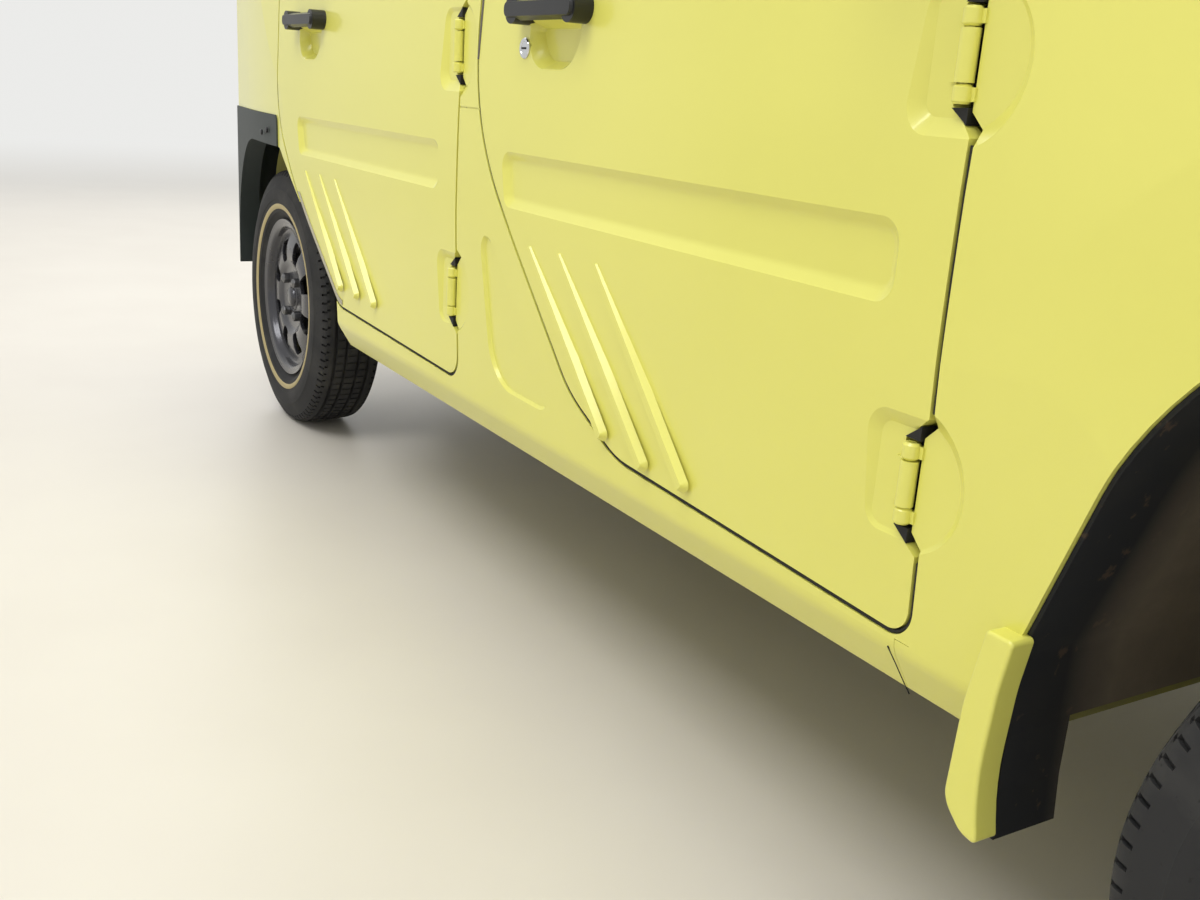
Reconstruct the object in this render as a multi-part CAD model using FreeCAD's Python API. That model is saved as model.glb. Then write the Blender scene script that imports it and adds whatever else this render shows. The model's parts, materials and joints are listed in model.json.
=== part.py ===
import FreeCAD, Part
import math
import os

# A small five-door hatchback with hinges in view, in millimetres.
# x points forward, y to the car's left, z up. The origin is under the middle of its box, on the ground.

# Overall size
overall_length = 3395.0
body_width = 1475.0
overall_height = 1550.0
wheelbase = 2360.0
front_overhang = 625.0
ground_to_sill = 266.0

# Running gear
tyre_radius = 267.0
tyre_width = 145.0
rim_radius = 164.0
track_half = 617.5
steered_rest_deg = 20.0
strut_lean_deg = 12.0
kingpin_y = 560.0

# Walls and gaps
door_wall = 45.0
door_skin = 18.0
door_step = 16.0
frame_wall = 66.0
flange_depth = 55.0
flange_lap = 14.0
fender_wall = 16.0
lid_wall = 22.0
roof_wall = 28.0
door_gap = 5.0
seam = 0.5
pin_clearance = 0.3
glass_thickness = 4.0
plan_spare = 0.6

# Stations along the car
front_x = overall_length / 2
front_axle_x = front_x - front_overhang
rear_axle_x = front_axle_x - wheelbase
rear_x = -overall_length / 2
door_front_x = front_axle_x - 445.0
pillar_x = front_axle_x - 1348.0
hinge_setback = 18.0
cowl_x = front_axle_x - 315.0
windscreen_top_x = front_axle_x - 850.0
rear_door_back_x = rear_axle_x + 168.0
nose_drop = 0.115
grille_setback = 28.0
bonnet_setback = 62.0
grille_x = front_x - grille_setback

# Heights
belt_z = round(overall_height * 0.6065)
door_bottom_z = 336.0
floor_z = ground_to_sill + 6.0
floor_sheet = 6.0
boot_floor_z = 430.0
axle_z = tyre_radius
bonnet_z = 952.0
arch_top_z = 690.0
rear_arch_top_z = 590.0

# Half widths
half_width = body_width / 2
belt_half = half_width - 12.5
roof_half = half_width - 147.0
sill_half = half_width - 12.0
bonnet_half = 640.0
tailgate_half = 590.0


def vec(x, y, z):
    return FreeCAD.Vector(x, y, z)


def place(axis, u, v, level):
    # a flat point (u, v) in the plane across the named axis
    if axis == "x":
        return vec(level, u, v)
    if axis == "y":
        return vec(u, level, v)
    return vec(u, v, level)


def rounded_wire(axis, level, points):
    # closed wire through (u, v) corners; a third number rounds that corner
    starts = []
    ends = []
    middles = []
    count = len(points)
    for i, point in enumerate(points):
        corner = vec(point[0], point[1], 0)
        radius = point[2] if len(point) > 2 else 0.0
        before = vec(points[i - 1][0], points[i - 1][1], 0) - corner
        after = vec(points[(i + 1) % count][0], points[(i + 1) % count][1], 0) - corner
        before.normalize()
        after.normalize()
        half_angle = before.getAngle(after) / 2
        if radius <= 0 or half_angle > math.pi / 2 - 1e-4:
            starts.append(corner)
            ends.append(corner)
            middles.append(None)
            continue
        reach = radius / math.tan(half_angle)
        bisector = before + after
        bisector.normalize()
        starts.append(corner + before * reach)
        ends.append(corner + after * reach)
        middles.append(corner + bisector * (radius / math.sin(half_angle) - radius))
    edges = []
    for i in range(count):
        if middles[i] is not None:
            trio = [place(axis, p.x, p.y, level) for p in (starts[i], middles[i], ends[i])]
            edges.append(Part.Arc(*trio).toShape())
        here = place(axis, ends[i].x, ends[i].y, level)
        there = place(axis, starts[(i + 1) % count].x, starts[(i + 1) % count].y, level)
        if (there - here).Length > 1e-4:
            edges.append(Part.LineSegment(here, there).toShape())
    return Part.Wire(edges)


def prism(axis, low, high, points):
    face = Part.Face(rounded_wire(axis, low, points))
    return face.extrude(place(axis, 0, 0, high - low))


def box(x0, x1, y0, y1, z0, z1):
    return Part.makeBox(x1 - x0, y1 - y0, z1 - z0, vec(x0, y0, z0))


def rod(start, end, radius):
    way = end - start
    return Part.makeCylinder(radius, way.Length, start, way)


def grown(axis, low, high, points, amount):
    # the same outline moved outward by an amount, or inward where it is negative
    wire = rounded_wire(axis, low, points)
    moved = wire.makeOffset2D(amount)
    if (moved.BoundBox.DiagonalLength > wire.BoundBox.DiagonalLength) != (amount > 0):
        moved = wire.makeOffset2D(-amount)
    return Part.Face(moved).extrude(place(axis, 0, 0, high - low))


def drafted(points, outer_y, depth, draft):
    # a shallow recess on the right side, its floor smaller than its mouth
    mouth = rounded_wire("y", outer_y, points)
    floor = mouth.makeOffset2D(-draft)
    if floor.BoundBox.DiagonalLength > mouth.BoundBox.DiagonalLength:
        floor = mouth.makeOffset2D(draft)
    floor.translate(vec(0, depth, 0))
    return Part.makeLoft([mouth, floor], True, True)


def mirrored(shape):
    return shape.mirror(vec(0, 0, 0), vec(0, 1, 0))


def joined(shapes):
    whole = shapes[0]
    if len(shapes) > 1:
        whole = whole.fuse(shapes[1:])
    return whole.removeSplitter()


def both_sides(shape):
    return Part.makeCompound([shape, mirrored(shape)])


def save(name, shape):
    solids = shape.Solids
    kept = Part.makeCompound(solids) if len(solids) > 1 else solids[0]
    kept.exportStep("parts/" + name + ".step")
    print(name, len(solids), round(kept.Volume / 1e6, 2), kept.isValid())


# The body's envelope: one cross section, one plan and one side profile meet in it

def side_heights(inset):
    # half width, height and corner radius up the body's side
    return [
        (sill_half - 24 - inset, ground_to_sill, 0),
        (sill_half - inset, ground_to_sill + 40, 30),
        (half_width - inset, 560, 1500),
        (half_width - inset, 700, 1500),
        (belt_half - inset, belt_z, 300),
    ]


def across(points):
    # a left and right outline from its right half
    left = [(-p[0], p[1], p[2]) for p in reversed(points)]
    return points + left


def cabin_section(inset, top_inset):
    right = side_heights(inset)
    right.append((roof_half - inset, overall_height - 46 - top_inset, 45))
    right.append((roof_half - 150 - inset, overall_height - top_inset, 200))
    return across(right)


def plan(inset):
    right = [
        (rear_x + inset, half_width - 62 - inset, 110),
        (rear_axle_x + 60, half_width + plan_spare - inset, 3000),
        (door_front_x + 150, half_width + plan_spare - inset, 3000),
        (front_x - 60 - inset, half_width - 62 - inset, 130),
        (front_x - inset, half_width - 260 - inset, 500),
    ]
    left = [(p[0], -p[1], p[2]) for p in reversed(right)]
    return right + left


def tail_x(z):
    # the tail's profile leans forward above the belt
    lean = max(0.0, z - belt_z) * 0.2
    return rear_x + 22.0 + lean


def cabin_profile(inset, top_inset):
    return [
        (rear_x + 22 + inset, ground_to_sill, 0),
        (tail_x(belt_z) + inset, belt_z, 500),
        (tail_x(overall_height) + inset, overall_height + plan_spare - top_inset, 70),
        (windscreen_top_x, overall_height + plan_spare - top_inset, 160),
        (cowl_x - inset, belt_z + 20, 0),
        (cowl_x - inset, ground_to_sill, 0),
    ]


def cabin_envelope(inset, top_inset=None):
    if top_inset is None:
        top_inset = inset
    shape = prism("x", rear_x, front_x, cabin_section(inset, top_inset))
    shape = shape.common(prism("z", 0, overall_height, plan(inset)))
    return shape.common(prism("y", -half_width, half_width, cabin_profile(inset, top_inset)))


def nose_section(inset, top_inset):
    right = side_heights(inset)[:-1]
    right.append((belt_half - inset, bonnet_z - 34 - top_inset, 48))
    right.append((bonnet_half - 90 - inset, bonnet_z - top_inset, 900))
    return across(right)


def nose_envelope(inset, top_inset=None):
    # the section is pushed forward and down, so the bonnet falls towards the nose
    if top_inset is None:
        top_inset = inset
    face = Part.Face(rounded_wire("x", door_front_x - 80, nose_section(inset, top_inset)))
    run = front_x - door_front_x + 100
    shape = face.extrude(vec(run, 0, -run * nose_drop))
    # below the side's widest line the sill's own section goes on, level, to the wheel arch
    level = side_heights(inset)[:2]
    level += [(half_width + 1 - inset, 581, 1500), (half_width + 1 - inset, overall_height, 0)]
    shape = shape.common(prism("x", door_front_x - 81, front_x + 1, across(level)))
    return shape.common(prism("z", 0, overall_height, plan(inset)))


outer_cabin = cabin_envelope(0)
outer_nose = nose_envelope(0)


def side_slab(outline, amount=0.0):
    # a block through the right side in the shape of an outline seen from the side
    return grown("y", -half_width - 60, -300, outline, amount) if amount else prism(
        "y", -half_width - 60, -300, outline)


# Door outlines seen from the side, as x, z and corner radius

window_top_z = overall_height - 88
frame_front_x = windscreen_top_x + 20

front_door = [
    (door_front_x, door_bottom_z - 14, 22),
    (door_front_x, belt_z + 12, 30),
    (frame_front_x, window_top_z, 60),
    (pillar_x + 66, window_top_z, 30),
    (pillar_x + 50, 770, 300),
    (pillar_x + 84, 650, 300),
    (pillar_x + 330, 390, 160),
    (pillar_x + 440, door_bottom_z + 4, 120),
]

rear_door = [
    (pillar_x, door_bottom_z - 6, 30),
    (pillar_x, belt_z, 0),
    (pillar_x + 22, window_top_z, 30),
    (rear_door_back_x + 30, window_top_z, 90),
    (rear_door_back_x - 12, belt_z - 60, 300),
    (rear_door_back_x, 650, 160),
    (rear_door_back_x + 118, 505, 900),
    (rear_door_back_x + 330, door_bottom_z + 6, 60),
]

front_window = [
    (door_front_x - 95, belt_z + 28, 25),
    (frame_front_x - 18, window_top_z - 42, 40),
    (pillar_x + 112, window_top_z - 42, 30),
    (pillar_x + 98, belt_z + 28, 30),
]

rear_window = [
    (pillar_x - 45, belt_z + 28, 30),
    (pillar_x - 28, window_top_z - 42, 30),
    (rear_door_back_x + 78, window_top_z - 42, 60),
    (rear_door_back_x + 44, belt_z + 28, 30),
]

arch_half = 327.0
arch_corner = 285.0
arch_back_x = front_axle_x - arch_half - 13

front_arch = [
    (arch_back_x, 150, 0),
    (arch_back_x, 352, 30),
    (arch_back_x + 121, arch_top_z, arch_corner + 15),
    (front_axle_x + arch_half, arch_top_z, arch_corner),
    (front_axle_x + arch_half, 150, 0),
]

rear_arch = [
    (rear_axle_x - 318, 150, 0),
    (rear_axle_x - 318, rear_arch_top_z, 250),
    (rear_door_back_x + 5, rear_arch_top_z, 40),
    (rear_door_back_x + 118, 505, 900),
    (rear_door_back_x + 318, door_bottom_z + 14, 20),
    (rear_door_back_x + 318, 150, 0),
]


# Hinges in view: pin height centres, from the tables below

hinge_pin_radius = 3.0
knuckle_radius = 7.5
knuckle_end = 14.0
knuckle_middle = 38.0
knuckle_gap = 1.0
hinge_leaf = 5.0
hinge_y = -(half_width - 7.0)
dish_radius = 66.0
dish_depth = 10.0
dish_slope = 22.0
hinge_half = knuckle_middle / 2 + knuckle_gap + knuckle_end
hinge_depth = hinge_y + 22.0
bare_knuckle = 22.0
bare_reach = 13.0

# pin x, pin z
front_hinges = [(door_front_x - hinge_setback, 450.0), (door_front_x - hinge_setback, belt_z - 165.0)]
rear_hinges = [(pillar_x - hinge_setback, 450.0), (pillar_x - hinge_setback, belt_z - 162.0)]


def hinge_notch(x, z):
    # the door is cut away round the barrel, and slopes out to the gap above and below it
    edge = x + hinge_setback + door_gap
    outline = [
        (x - 10.5, z - hinge_half - 2, 5), (x - 10.5, z + hinge_half + 2, 5),
        (edge, z + hinge_half + 27, 0), (edge, z - hinge_half - 27, 0),
    ]
    return prism("y", -half_width - 30, hinge_depth, outline)


def hinge_tab(x, z):
    # the fixed panel reaches back beside the barrel, at the bottom of its dish
    edge = x + hinge_setback + door_gap + 3
    outline = [
        (x + 9.5, z - hinge_half - 5, 0), (x + 9.5, z + hinge_half + 5, 0),
        (edge, z + hinge_half + 21, 0), (edge, z - hinge_half - 21, 0),
    ]
    return prism("y", -half_width + dish_depth, hinge_depth - 2, outline)


def door_pocket(x, z):
    low = z - dish_radius
    high = z + dish_radius
    outline = [
        (x - 60, low, 34),
        (x - 60, high, 34),
        (x + hinge_setback + 40, high, 0),
        (x + hinge_setback + 40, low, 0),
    ]
    return drafted(outline, -half_width - 4, dish_depth + 4, dish_slope)


def round_dish(x, z):
    # a shallow round dish, the hinge at its middle
    start = vec(x, -half_width - 4, z)
    wide = dish_radius + 10
    return Part.makeCone(wide, wide - dish_slope, dish_depth + 4, start, vec(0, 1, 0))


def barrel(x, low, high):
    # a knuckle with eased ends
    ease = 2.0
    parts = [rod(vec(x, hinge_y, low + ease), vec(x, hinge_y, high - ease), knuckle_radius)]
    parts.append(Part.makeCone(knuckle_radius, knuckle_radius - ease, ease, vec(x, hinge_y, high - ease), vec(0, 0, 1)))
    parts.append(Part.makeCone(knuckle_radius, knuckle_radius - ease, ease, vec(x, hinge_y, low + ease), vec(0, 0, -1)))
    return joined(parts)


def door_knuckles(x, z):
    # the long middle knuckle, the pin through all three and a leaf back to the door
    half = knuckle_middle / 2
    parts = [rod(vec(x, hinge_y, z - half), vec(x, hinge_y, z + half), knuckle_radius)]
    parts.append(rod(vec(x, hinge_y, z - hinge_half + 1), vec(x, hinge_y, z + hinge_half - 1), hinge_pin_radius))
    parts.append(box(x - 16, x, hinge_y + 1, hinge_y + 1 + hinge_leaf, z - half, z + half))
    return joined(parts)


def frame_knuckles(x, z):
    # the two end knuckles with their leaves to the tab of the fixed panel
    parts = [hinge_tab(x, z)]
    for low, high in ((z - hinge_half, z - hinge_half + knuckle_end), (z + hinge_half - knuckle_end, z + hinge_half)):
        parts.append(barrel(x, low, high))
        parts.append(box(x, x + 11, hinge_y + 1, hinge_y + 1 + hinge_leaf, low + 2, high - 2))
    bore = rod(vec(x, hinge_y, z - hinge_half - 1), vec(x, hinge_y, z + hinge_half + 1),
               hinge_pin_radius + pin_clearance)
    return joined(parts).cut(bore)


# Recessed band, raised ribs and handle cups on the doors

band_low_z = 588.0
band_high_z = 652.0
band_depth = 8.0
rib_proud = 1.6
rib_width = 18.0
rib_ease = 4.5
handle_z = belt_z - 122.0
handle_length = 168.0


def band(x0, x1):
    # its floor meets the sloping sides in a round
    low = band_low_z - 6
    high = band_high_z + 6
    outline = [(x0, low, 22), (x0 - 16, high, 22), (x1, high, 26), (x1, low, 26)]
    block = drafted(outline, -half_width - 3, band_depth + 3, 15)
    floor_edges = [edge for edge in block.Edges if edge.BoundBox.YMin > -half_width + band_depth - 0.1]
    return block.makeFillet(9, floor_edges)


def rib(x0, z0, x1, z1):
    # a slim raised bar that runs down and forward, narrower at its face
    way = vec(x1 - x0, 0, z1 - z0)
    way.normalize()
    side = vec(-way.z, 0, way.x) * (rib_width / 2)
    corners = [vec(x0, 0, z0) + side, vec(x1, 0, z1) + side, vec(x1, 0, z1) - side,
               vec(x0, 0, z0) - side]
    outline = [(c.x, c.z, 7) for c in corners]
    wide = rounded_wire("y", -half_width + 6, outline)
    face = rounded_wire("y", -half_width - rib_proud, outline).makeOffset2D(-rib_ease)
    if face.BoundBox.DiagonalLength > wide.BoundBox.DiagonalLength:
        face = rounded_wire("y", -half_width - rib_proud, outline).makeOffset2D(rib_ease)
    return Part.makeLoft([wide, face], True, True)


def handle_cup(x):
    # a half oval hollow under the handle for the fingers
    z = handle_z - 6
    outline = [(x - 66, z, 0), (x - 66, z - 62, 46), (x + 66, z - 62, 46), (x + 66, z, 0)]
    return drafted(outline, -half_width - 3, 25, 13)


def pull_handle(x):
    # a flat bar with round ends, held off the skin by two feet
    half = handle_length / 2
    out_y = -half_width - 22
    outline = [(x - half, handle_z - 12, 11), (x - half, handle_z + 12, 11), (x + half, handle_z + 12, 11),
               (x + half, handle_z - 12, 11)]
    parts = [drafted(outline, out_y + 12, -12, 4)]
    for foot_x in (x - half + 15, x + half - 15):
        parts.append(rod(vec(foot_x, out_y + 4, handle_z), vec(foot_x, -half_width + 26, handle_z), 16))
    return joined(parts)


# Doors

def door_leaf(outline, window, hinges):
    inner_skin = cabin_envelope(door_skin)
    inner_wall = cabin_envelope(door_wall)
    whole = outer_cabin.cut(inner_wall).common(side_slab(outline))
    rim = inner_skin.common(side_slab(outline).cut(side_slab(outline, -door_step)))
    whole = whole.cut(rim)
    whole = whole.cut(side_slab(window))
    for x, z in hinges:
        whole = whole.cut(door_pocket(x, z)).cut(hinge_notch(x, z))
    for x, z in hinges:
        whole = whole.fuse(door_knuckles(x, z))
    return whole


def door_glass(window):
    depth = 20.0
    sheet = cabin_envelope(depth).cut(cabin_envelope(depth + glass_thickness))
    return sheet.common(side_slab(window, -pin_clearance))


front_handle_x = front_axle_x - 1094.0
rear_handle_x = rear_axle_x + 355.0
rib_table = [
    # upper x, upper z, lower x, lower z, from the pillar's front door side
    (214.0, 547.0, 417.0, 356.0),
    (289.0, 549.0, 504.0, 346.0),
    (375.0, 550.0, 581.0, 347.0),
]


def make_front_door():
    door = door_leaf(front_door, front_window, front_hinges)
    door = door.cut(band(pillar_x + 148, door_front_x - 50))
    door = door.cut(handle_cup(front_handle_x))
    for x0, z0, x1, z1 in rib_table:
        bar = rib(pillar_x + x0 + 6, z0, pillar_x + x1 + 6, z1)
        door = door.fuse(bar.common(side_slab(front_door, -4)))
    return door.cut(pull_handle(front_handle_x)).removeSplitter()


def make_rear_door():
    door = door_leaf(rear_door, rear_window, rear_hinges)
    door = door.cut(band(rear_door_back_x + 130, pillar_x - 56))
    door = door.cut(handle_cup(rear_handle_x))
    for step in range(3):
        x0 = rear_door_back_x + 165 + 82 * step
        bar = rib(x0, 560, x0 + 196, 372)
        door = door.fuse(bar.common(side_slab(rear_door, -4)))
    return door.cut(pull_handle(rear_handle_x)).removeSplitter()


def make_mirror():
    # a round-cornered housing on a foot at the front corner of the window
    x = door_front_x - 88
    inner_y = -half_width - 6
    outer_y = -half_width - 150
    housing = [(outer_y, belt_z + 62, 26), (outer_y, belt_z + 182, 34), (inner_y, belt_z + 182, 26),
               (inner_y, belt_z + 62, 20)]
    shell = prism("x", x - 34, x + 34, housing)
    foot = box(x - 22, x + 22, -half_width - 40, -belt_half + 34, belt_z + 36, belt_z + 66)
    shell = shell.fuse(foot)
    return shell.cut(cabin_envelope(0).common(side_slab(front_door)))


# Fixed panels of the body

screen_low = vec(cowl_x, 0, belt_z + 20)
screen_high = vec(windscreen_top_x, 0, overall_height)
screen_run = (screen_high - screen_low).Length
screen_half_low = 600.0
screen_half_high = 490.0


def screen_sheet(inset, back, front):
    # a sheet on the sloping screen plane: y across, the second number up the slope
    low = 26 + inset
    high = screen_run - 60 - inset
    outline = [(low, -screen_half_low + inset, 50), (high, -screen_half_high + inset, 70),
               (high, screen_half_high - inset, 70), (low, screen_half_low - inset, 50)]
    sheet = prism("z", back, front, outline)
    way = (screen_high - screen_low).normalize()
    turn = FreeCAD.Rotation(way, vec(0, 1, 0), way.cross(vec(0, 1, 0)), "XYZ")
    sheet.Placement = FreeCAD.Placement(screen_low, turn)
    return sheet


tailgate_top_z = overall_height - 62.0
tailgate_low_z = 585.0
tail_lamp_low = belt_z - 240
tail_lamp_high = belt_z + 70
tail_lamp_inner = tailgate_half + 14
tail_lamp_outer = half_width - 55.5
tail_lamp = [
    (-tail_lamp_outer, tail_lamp_low, 30), (-tail_lamp_outer, tail_lamp_high, 30),
    (-tail_lamp_inner, tail_lamp_high, 20), (-tail_lamp_inner, tail_lamp_low, 20),
]

cladding_low_z = 296.0
cladding_high_z = 648.0
cladding_wall = 38.0
cladding_outline = [
    (rear_x - 30, cladding_low_z, 0), (rear_x - 30, cladding_high_z, 0),
    (rear_door_back_x - door_gap - 4, cladding_high_z, 14), (rear_door_back_x - door_gap, 560, 0),
    (rear_axle_x, 480, 0), (rear_axle_x, cladding_low_z, 0),
]


pillar_press = [
    (pillar_x + 70, 590, 22), (pillar_x + 312, 336, 22), (pillar_x + 104, 338, 80),
]
press_depth = 4.5
pillar_joint_z = 700.0


def make_side_frame():
    shell = outer_cabin.cut(cabin_envelope(frame_wall, roof_wall))
    limit = [
        (rear_axle_x - 150, ground_to_sill - 10), (rear_axle_x - 150, cladding_high_z - 40),
        (rear_x - 10, cladding_high_z - 40), (rear_x - 10, overall_height + 10),
        (windscreen_top_x - 20, overall_height + 10), (cowl_x + 20, belt_z + 20),
        (door_front_x + door_gap, belt_z - 8), (door_front_x + door_gap, door_bottom_z - 20),
        (door_front_x - 12, door_bottom_z - 20), (door_front_x - 12, ground_to_sill - 10),
    ]
    shell = shell.common(prism("y", -half_width - 10, -roof_half + 95, limit))
    tail_cut = box(rear_x - 10, tail_x(overall_height) + 70, -tailgate_half - door_gap, 0, 0,
                   tailgate_top_z + door_gap)
    shell = shell.cut(tail_cut)
    deep = cabin_envelope(flange_depth)
    for outline in (front_door, rear_door):
        shell = shell.cut(side_slab(outline, door_gap).cut(deep))
        shell = shell.cut(side_slab(outline, -flange_lap))
    shell = shell.cut(prism("y", -half_width - 10, 0, rear_arch))
    shell = shell.cut(side_slab(cladding_outline, seam))
    shell = shell.cut(screen_sheet(0, -80, 80))
    shell = shell.cut(prism("x", rear_x - 5, tail_x(belt_z) + 36, tail_lamp))
    press = drafted(pillar_press, -half_width - 3, 30, 24).cut(cabin_envelope(press_depth))
    shell = shell.cut(press)
    shell = shell.cut(box(pillar_x, pillar_x + 90, -half_width - 5, -half_width + 2, pillar_joint_z,
                          pillar_joint_z + 2))
    for x, z in rear_hinges:
        shell = shell.cut(round_dish(x, z)).cut(hinge_notch(x, z).cut(deep))
        shell = shell.fuse(frame_knuckles(x, z))
    return shell.removeSplitter()


def make_windscreen():
    return screen_sheet(pin_clearance, 8, 8 + glass_thickness)


# Tailgate and its two hinges at the edge of the roof

tailgate_wall = 40.0
tailgate_hinge_y = 400.0
tailgate_hinge_z = tailgate_top_z + 8.0
tailgate_hinge_x = tail_x(tailgate_hinge_z) - 3.0


def turned_hinge(shape, y):
    # a door hinge laid on its side: its fixed leaf points up and its pin runs across the car
    turn = FreeCAD.Rotation(vec(0, 0, 1), vec(1, 0, 0), vec(0, 1, 0), "XYZ")
    copy = shape.copy()
    copy.Placement = FreeCAD.Placement(vec(tailgate_hinge_x, y, tailgate_hinge_z), turn)
    return copy


def bare_hinge_moving():
    parts = []
    for level in (-hinge_half, hinge_half - bare_knuckle):
        parts.append(rod(vec(0, 0, level), vec(0, 0, level + bare_knuckle), knuckle_radius))
        parts.append(box(-46, 0, 1, 10, level, level + bare_knuckle))
    parts.append(rod(vec(0, 0, -hinge_half), vec(0, 0, hinge_half), hinge_pin_radius))
    return joined(parts)


def bare_hinge_fixed():
    half = bare_knuckle / 2
    body = rod(vec(0, 0, -half), vec(0, 0, half), knuckle_radius)
    leaf = box(0, 44, 1, 22, -half, half)
    bore = rod(vec(0, 0, -half - 1), vec(0, 0, half + 1), hinge_pin_radius + pin_clearance)
    return body.fuse(leaf).cut(bore)


def make_roof():
    skin = outer_cabin.cut(cabin_envelope(frame_wall, roof_wall))
    edge = roof_half - 95 - seam
    skin = skin.common(box(rear_x, windscreen_top_x + 300, -edge, edge, overall_height - 200, overall_height + 20))
    skin = skin.cut(box(rear_x, tail_x(overall_height) + 120, -edge, edge, 0, tailgate_top_z + door_gap))
    skin = skin.cut(screen_sheet(0, -80, 80))
    for i in range(-3, 4):
        y = i * 125
        skin = skin.cut(box(tail_x(overall_height) + 190, windscreen_top_x - 180, y - 28, y + 28,
                            overall_height - 6, overall_height + 10))
    for y in (-tailgate_hinge_y, tailgate_hinge_y):
        room = box(rear_x, tailgate_hinge_x + 12, y - hinge_half - 4, y + hinge_half + 4, 0,
                   tailgate_hinge_z + bare_reach)
        skin = skin.cut(room).fuse(turned_hinge(bare_hinge_fixed(), y))
    return skin.removeSplitter()


tailgate_window = [(-500.0, belt_z + 45, 45), (-455.0, tailgate_top_z - 62, 50), (455.0, tailgate_top_z - 62, 50),
                   (500.0, belt_z + 45, 45)]
plate_hole_spacing = 210.0
plate_hole_radius = 3.5
plate_z = 730.0


def tail_wall(inset, thickness):
    outside = prism("y", -tailgate_half, tailgate_half, cabin_profile(inset, inset))
    inside = prism("y", -tailgate_half - 1, tailgate_half + 1, cabin_profile(inset + thickness, inset + thickness))
    return outside.cut(inside)


def make_tailgate():
    shell = outer_cabin.common(tail_wall(0, tailgate_wall))
    shell = shell.common(box(rear_x, tail_x(overall_height) + 60, -tailgate_half, tailgate_half, tailgate_low_z,
                             tailgate_top_z))
    shell = shell.cut(prism("x", rear_x - 10, 0, tailgate_window))
    recess = [(-205.0, plate_z - 92, 20), (-205.0, plate_z + 92, 20), (205.0, plate_z + 92, 20),
              (205.0, plate_z - 92, 20)]
    shell = shell.cut(prism("x", rear_x - 10, tail_x(plate_z) + 14, recess))
    for y in (-plate_hole_spacing / 2, plate_hole_spacing / 2):
        shell = shell.cut(rod(vec(rear_x, y, plate_z + 60), vec(rear_x + 90, y, plate_z + 60), plate_hole_radius))
    for y in (-tailgate_hinge_y, tailgate_hinge_y):
        ear = box(rear_x, tailgate_hinge_x + 30, y - bare_knuckle / 2 - 4, y + bare_knuckle / 2 + 4,
                  tailgate_hinge_z - bare_reach - 4, 2000)
        shell = shell.cut(ear).fuse(turned_hinge(bare_hinge_moving(), y))
    return shell.removeSplitter()


def make_tailgate_glass():
    pane = tail_wall(12, glass_thickness)
    wire = rounded_wire("x", rear_x - 10, tailgate_window)
    inner = wire.makeOffset2D(-pin_clearance)
    if inner.BoundBox.DiagonalLength > wire.BoundBox.DiagonalLength:
        inner = wire.makeOffset2D(pin_clearance)
    return pane.common(Part.Face(inner).extrude(vec(600, 0, 0)))


def make_tail_lamp():
    wire = rounded_wire("x", rear_x - 5, tail_lamp)
    inner = wire.makeOffset2D(-seam)
    if inner.BoundBox.DiagonalLength > wire.BoundBox.DiagonalLength:
        inner = wire.makeOffset2D(seam)
    block = Part.Face(inner).extrude(vec(tail_x(belt_z) + 41 - seam - rear_x, 0, 0))
    return block.common(outer_cabin)


# Nose: fenders, bonnet, front panel, lamps

def make_fender():
    shell = outer_nose.cut(nose_envelope(fender_wall))
    limit = [
        (door_front_x + door_gap, door_bottom_z - 20 - seam), (door_front_x + door_gap, 1000),
        (front_x, 1000), (front_x, bumper_high_z + seam), (front_axle_x + 200, bumper_high_z + seam),
        (front_axle_x, 400), (front_axle_x, 200),
        (door_front_x - 12 + seam, 200), (door_front_x - 12 + seam, door_bottom_z - 20 - seam),
    ]
    shell = shell.common(prism("y", -half_width - 10, -bonnet_half - door_gap, limit))
    shell = shell.cut(prism("y", -half_width - 10, 0, front_arch))
    shell = shell.cut(cabin_envelope(-1).common(box(0, cowl_x + 1, -800, 0, belt_z - 14, 1600)))
    for x, z in front_hinges:
        shell = shell.cut(round_dish(x, z)).cut(hinge_notch(x, z))
        shell = shell.fuse(frame_knuckles(x, z))
    return shell.removeSplitter()


bonnet_hinge_y = 470.0
bonnet_back_x = cowl_x + 16.0
bonnet_hinge_x = bonnet_back_x + 14.0
bonnet_barrel_radius = 7.0


def nose_top_z(x):
    return bonnet_z - (x - door_front_x + 80) * nose_drop


bonnet_hinge_z = nose_top_z(bonnet_hinge_x) - 13.0


def make_bonnet():
    shell = outer_nose.cut(nose_envelope(lid_wall, lid_wall))
    shell = shell.common(box(bonnet_back_x, front_x, -bonnet_half, bonnet_half, 600, 1000))
    shell = shell.common(prism("z", 600, 1000, plan(bonnet_setback)))
    for y in (-bonnet_hinge_y, bonnet_hinge_y):
        hinge = vec(bonnet_hinge_x, y, bonnet_hinge_z)
        across_way = vec(0, 1, 0)
        room = box(bonnet_back_x - 1, bonnet_hinge_x + 16, y - 34, y + 34, 600, bonnet_hinge_z + 8.5)
        shell = shell.cut(room)
        shell = shell.fuse(rod(hinge - across_way * 12, hinge + across_way * 12, bonnet_barrel_radius))
        shell = shell.fuse(box(bonnet_hinge_x - 7, bonnet_hinge_x + 7, y - 12, y + 12, bonnet_hinge_z,
                               bonnet_hinge_z + 9))
        shell = shell.fuse(rod(hinge - across_way * 24, hinge + across_way * 24, hinge_pin_radius))
    return shell.removeSplitter()


lamp_radius = 84.0
lamp_y = 470.0
lamp_z = 686.0
panel_low_z = 552.0
bumper_low_z = 282.0
bumper_high_z = 546.0
bumper_split_y = 330.0
bumper_wall = 34.0


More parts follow.
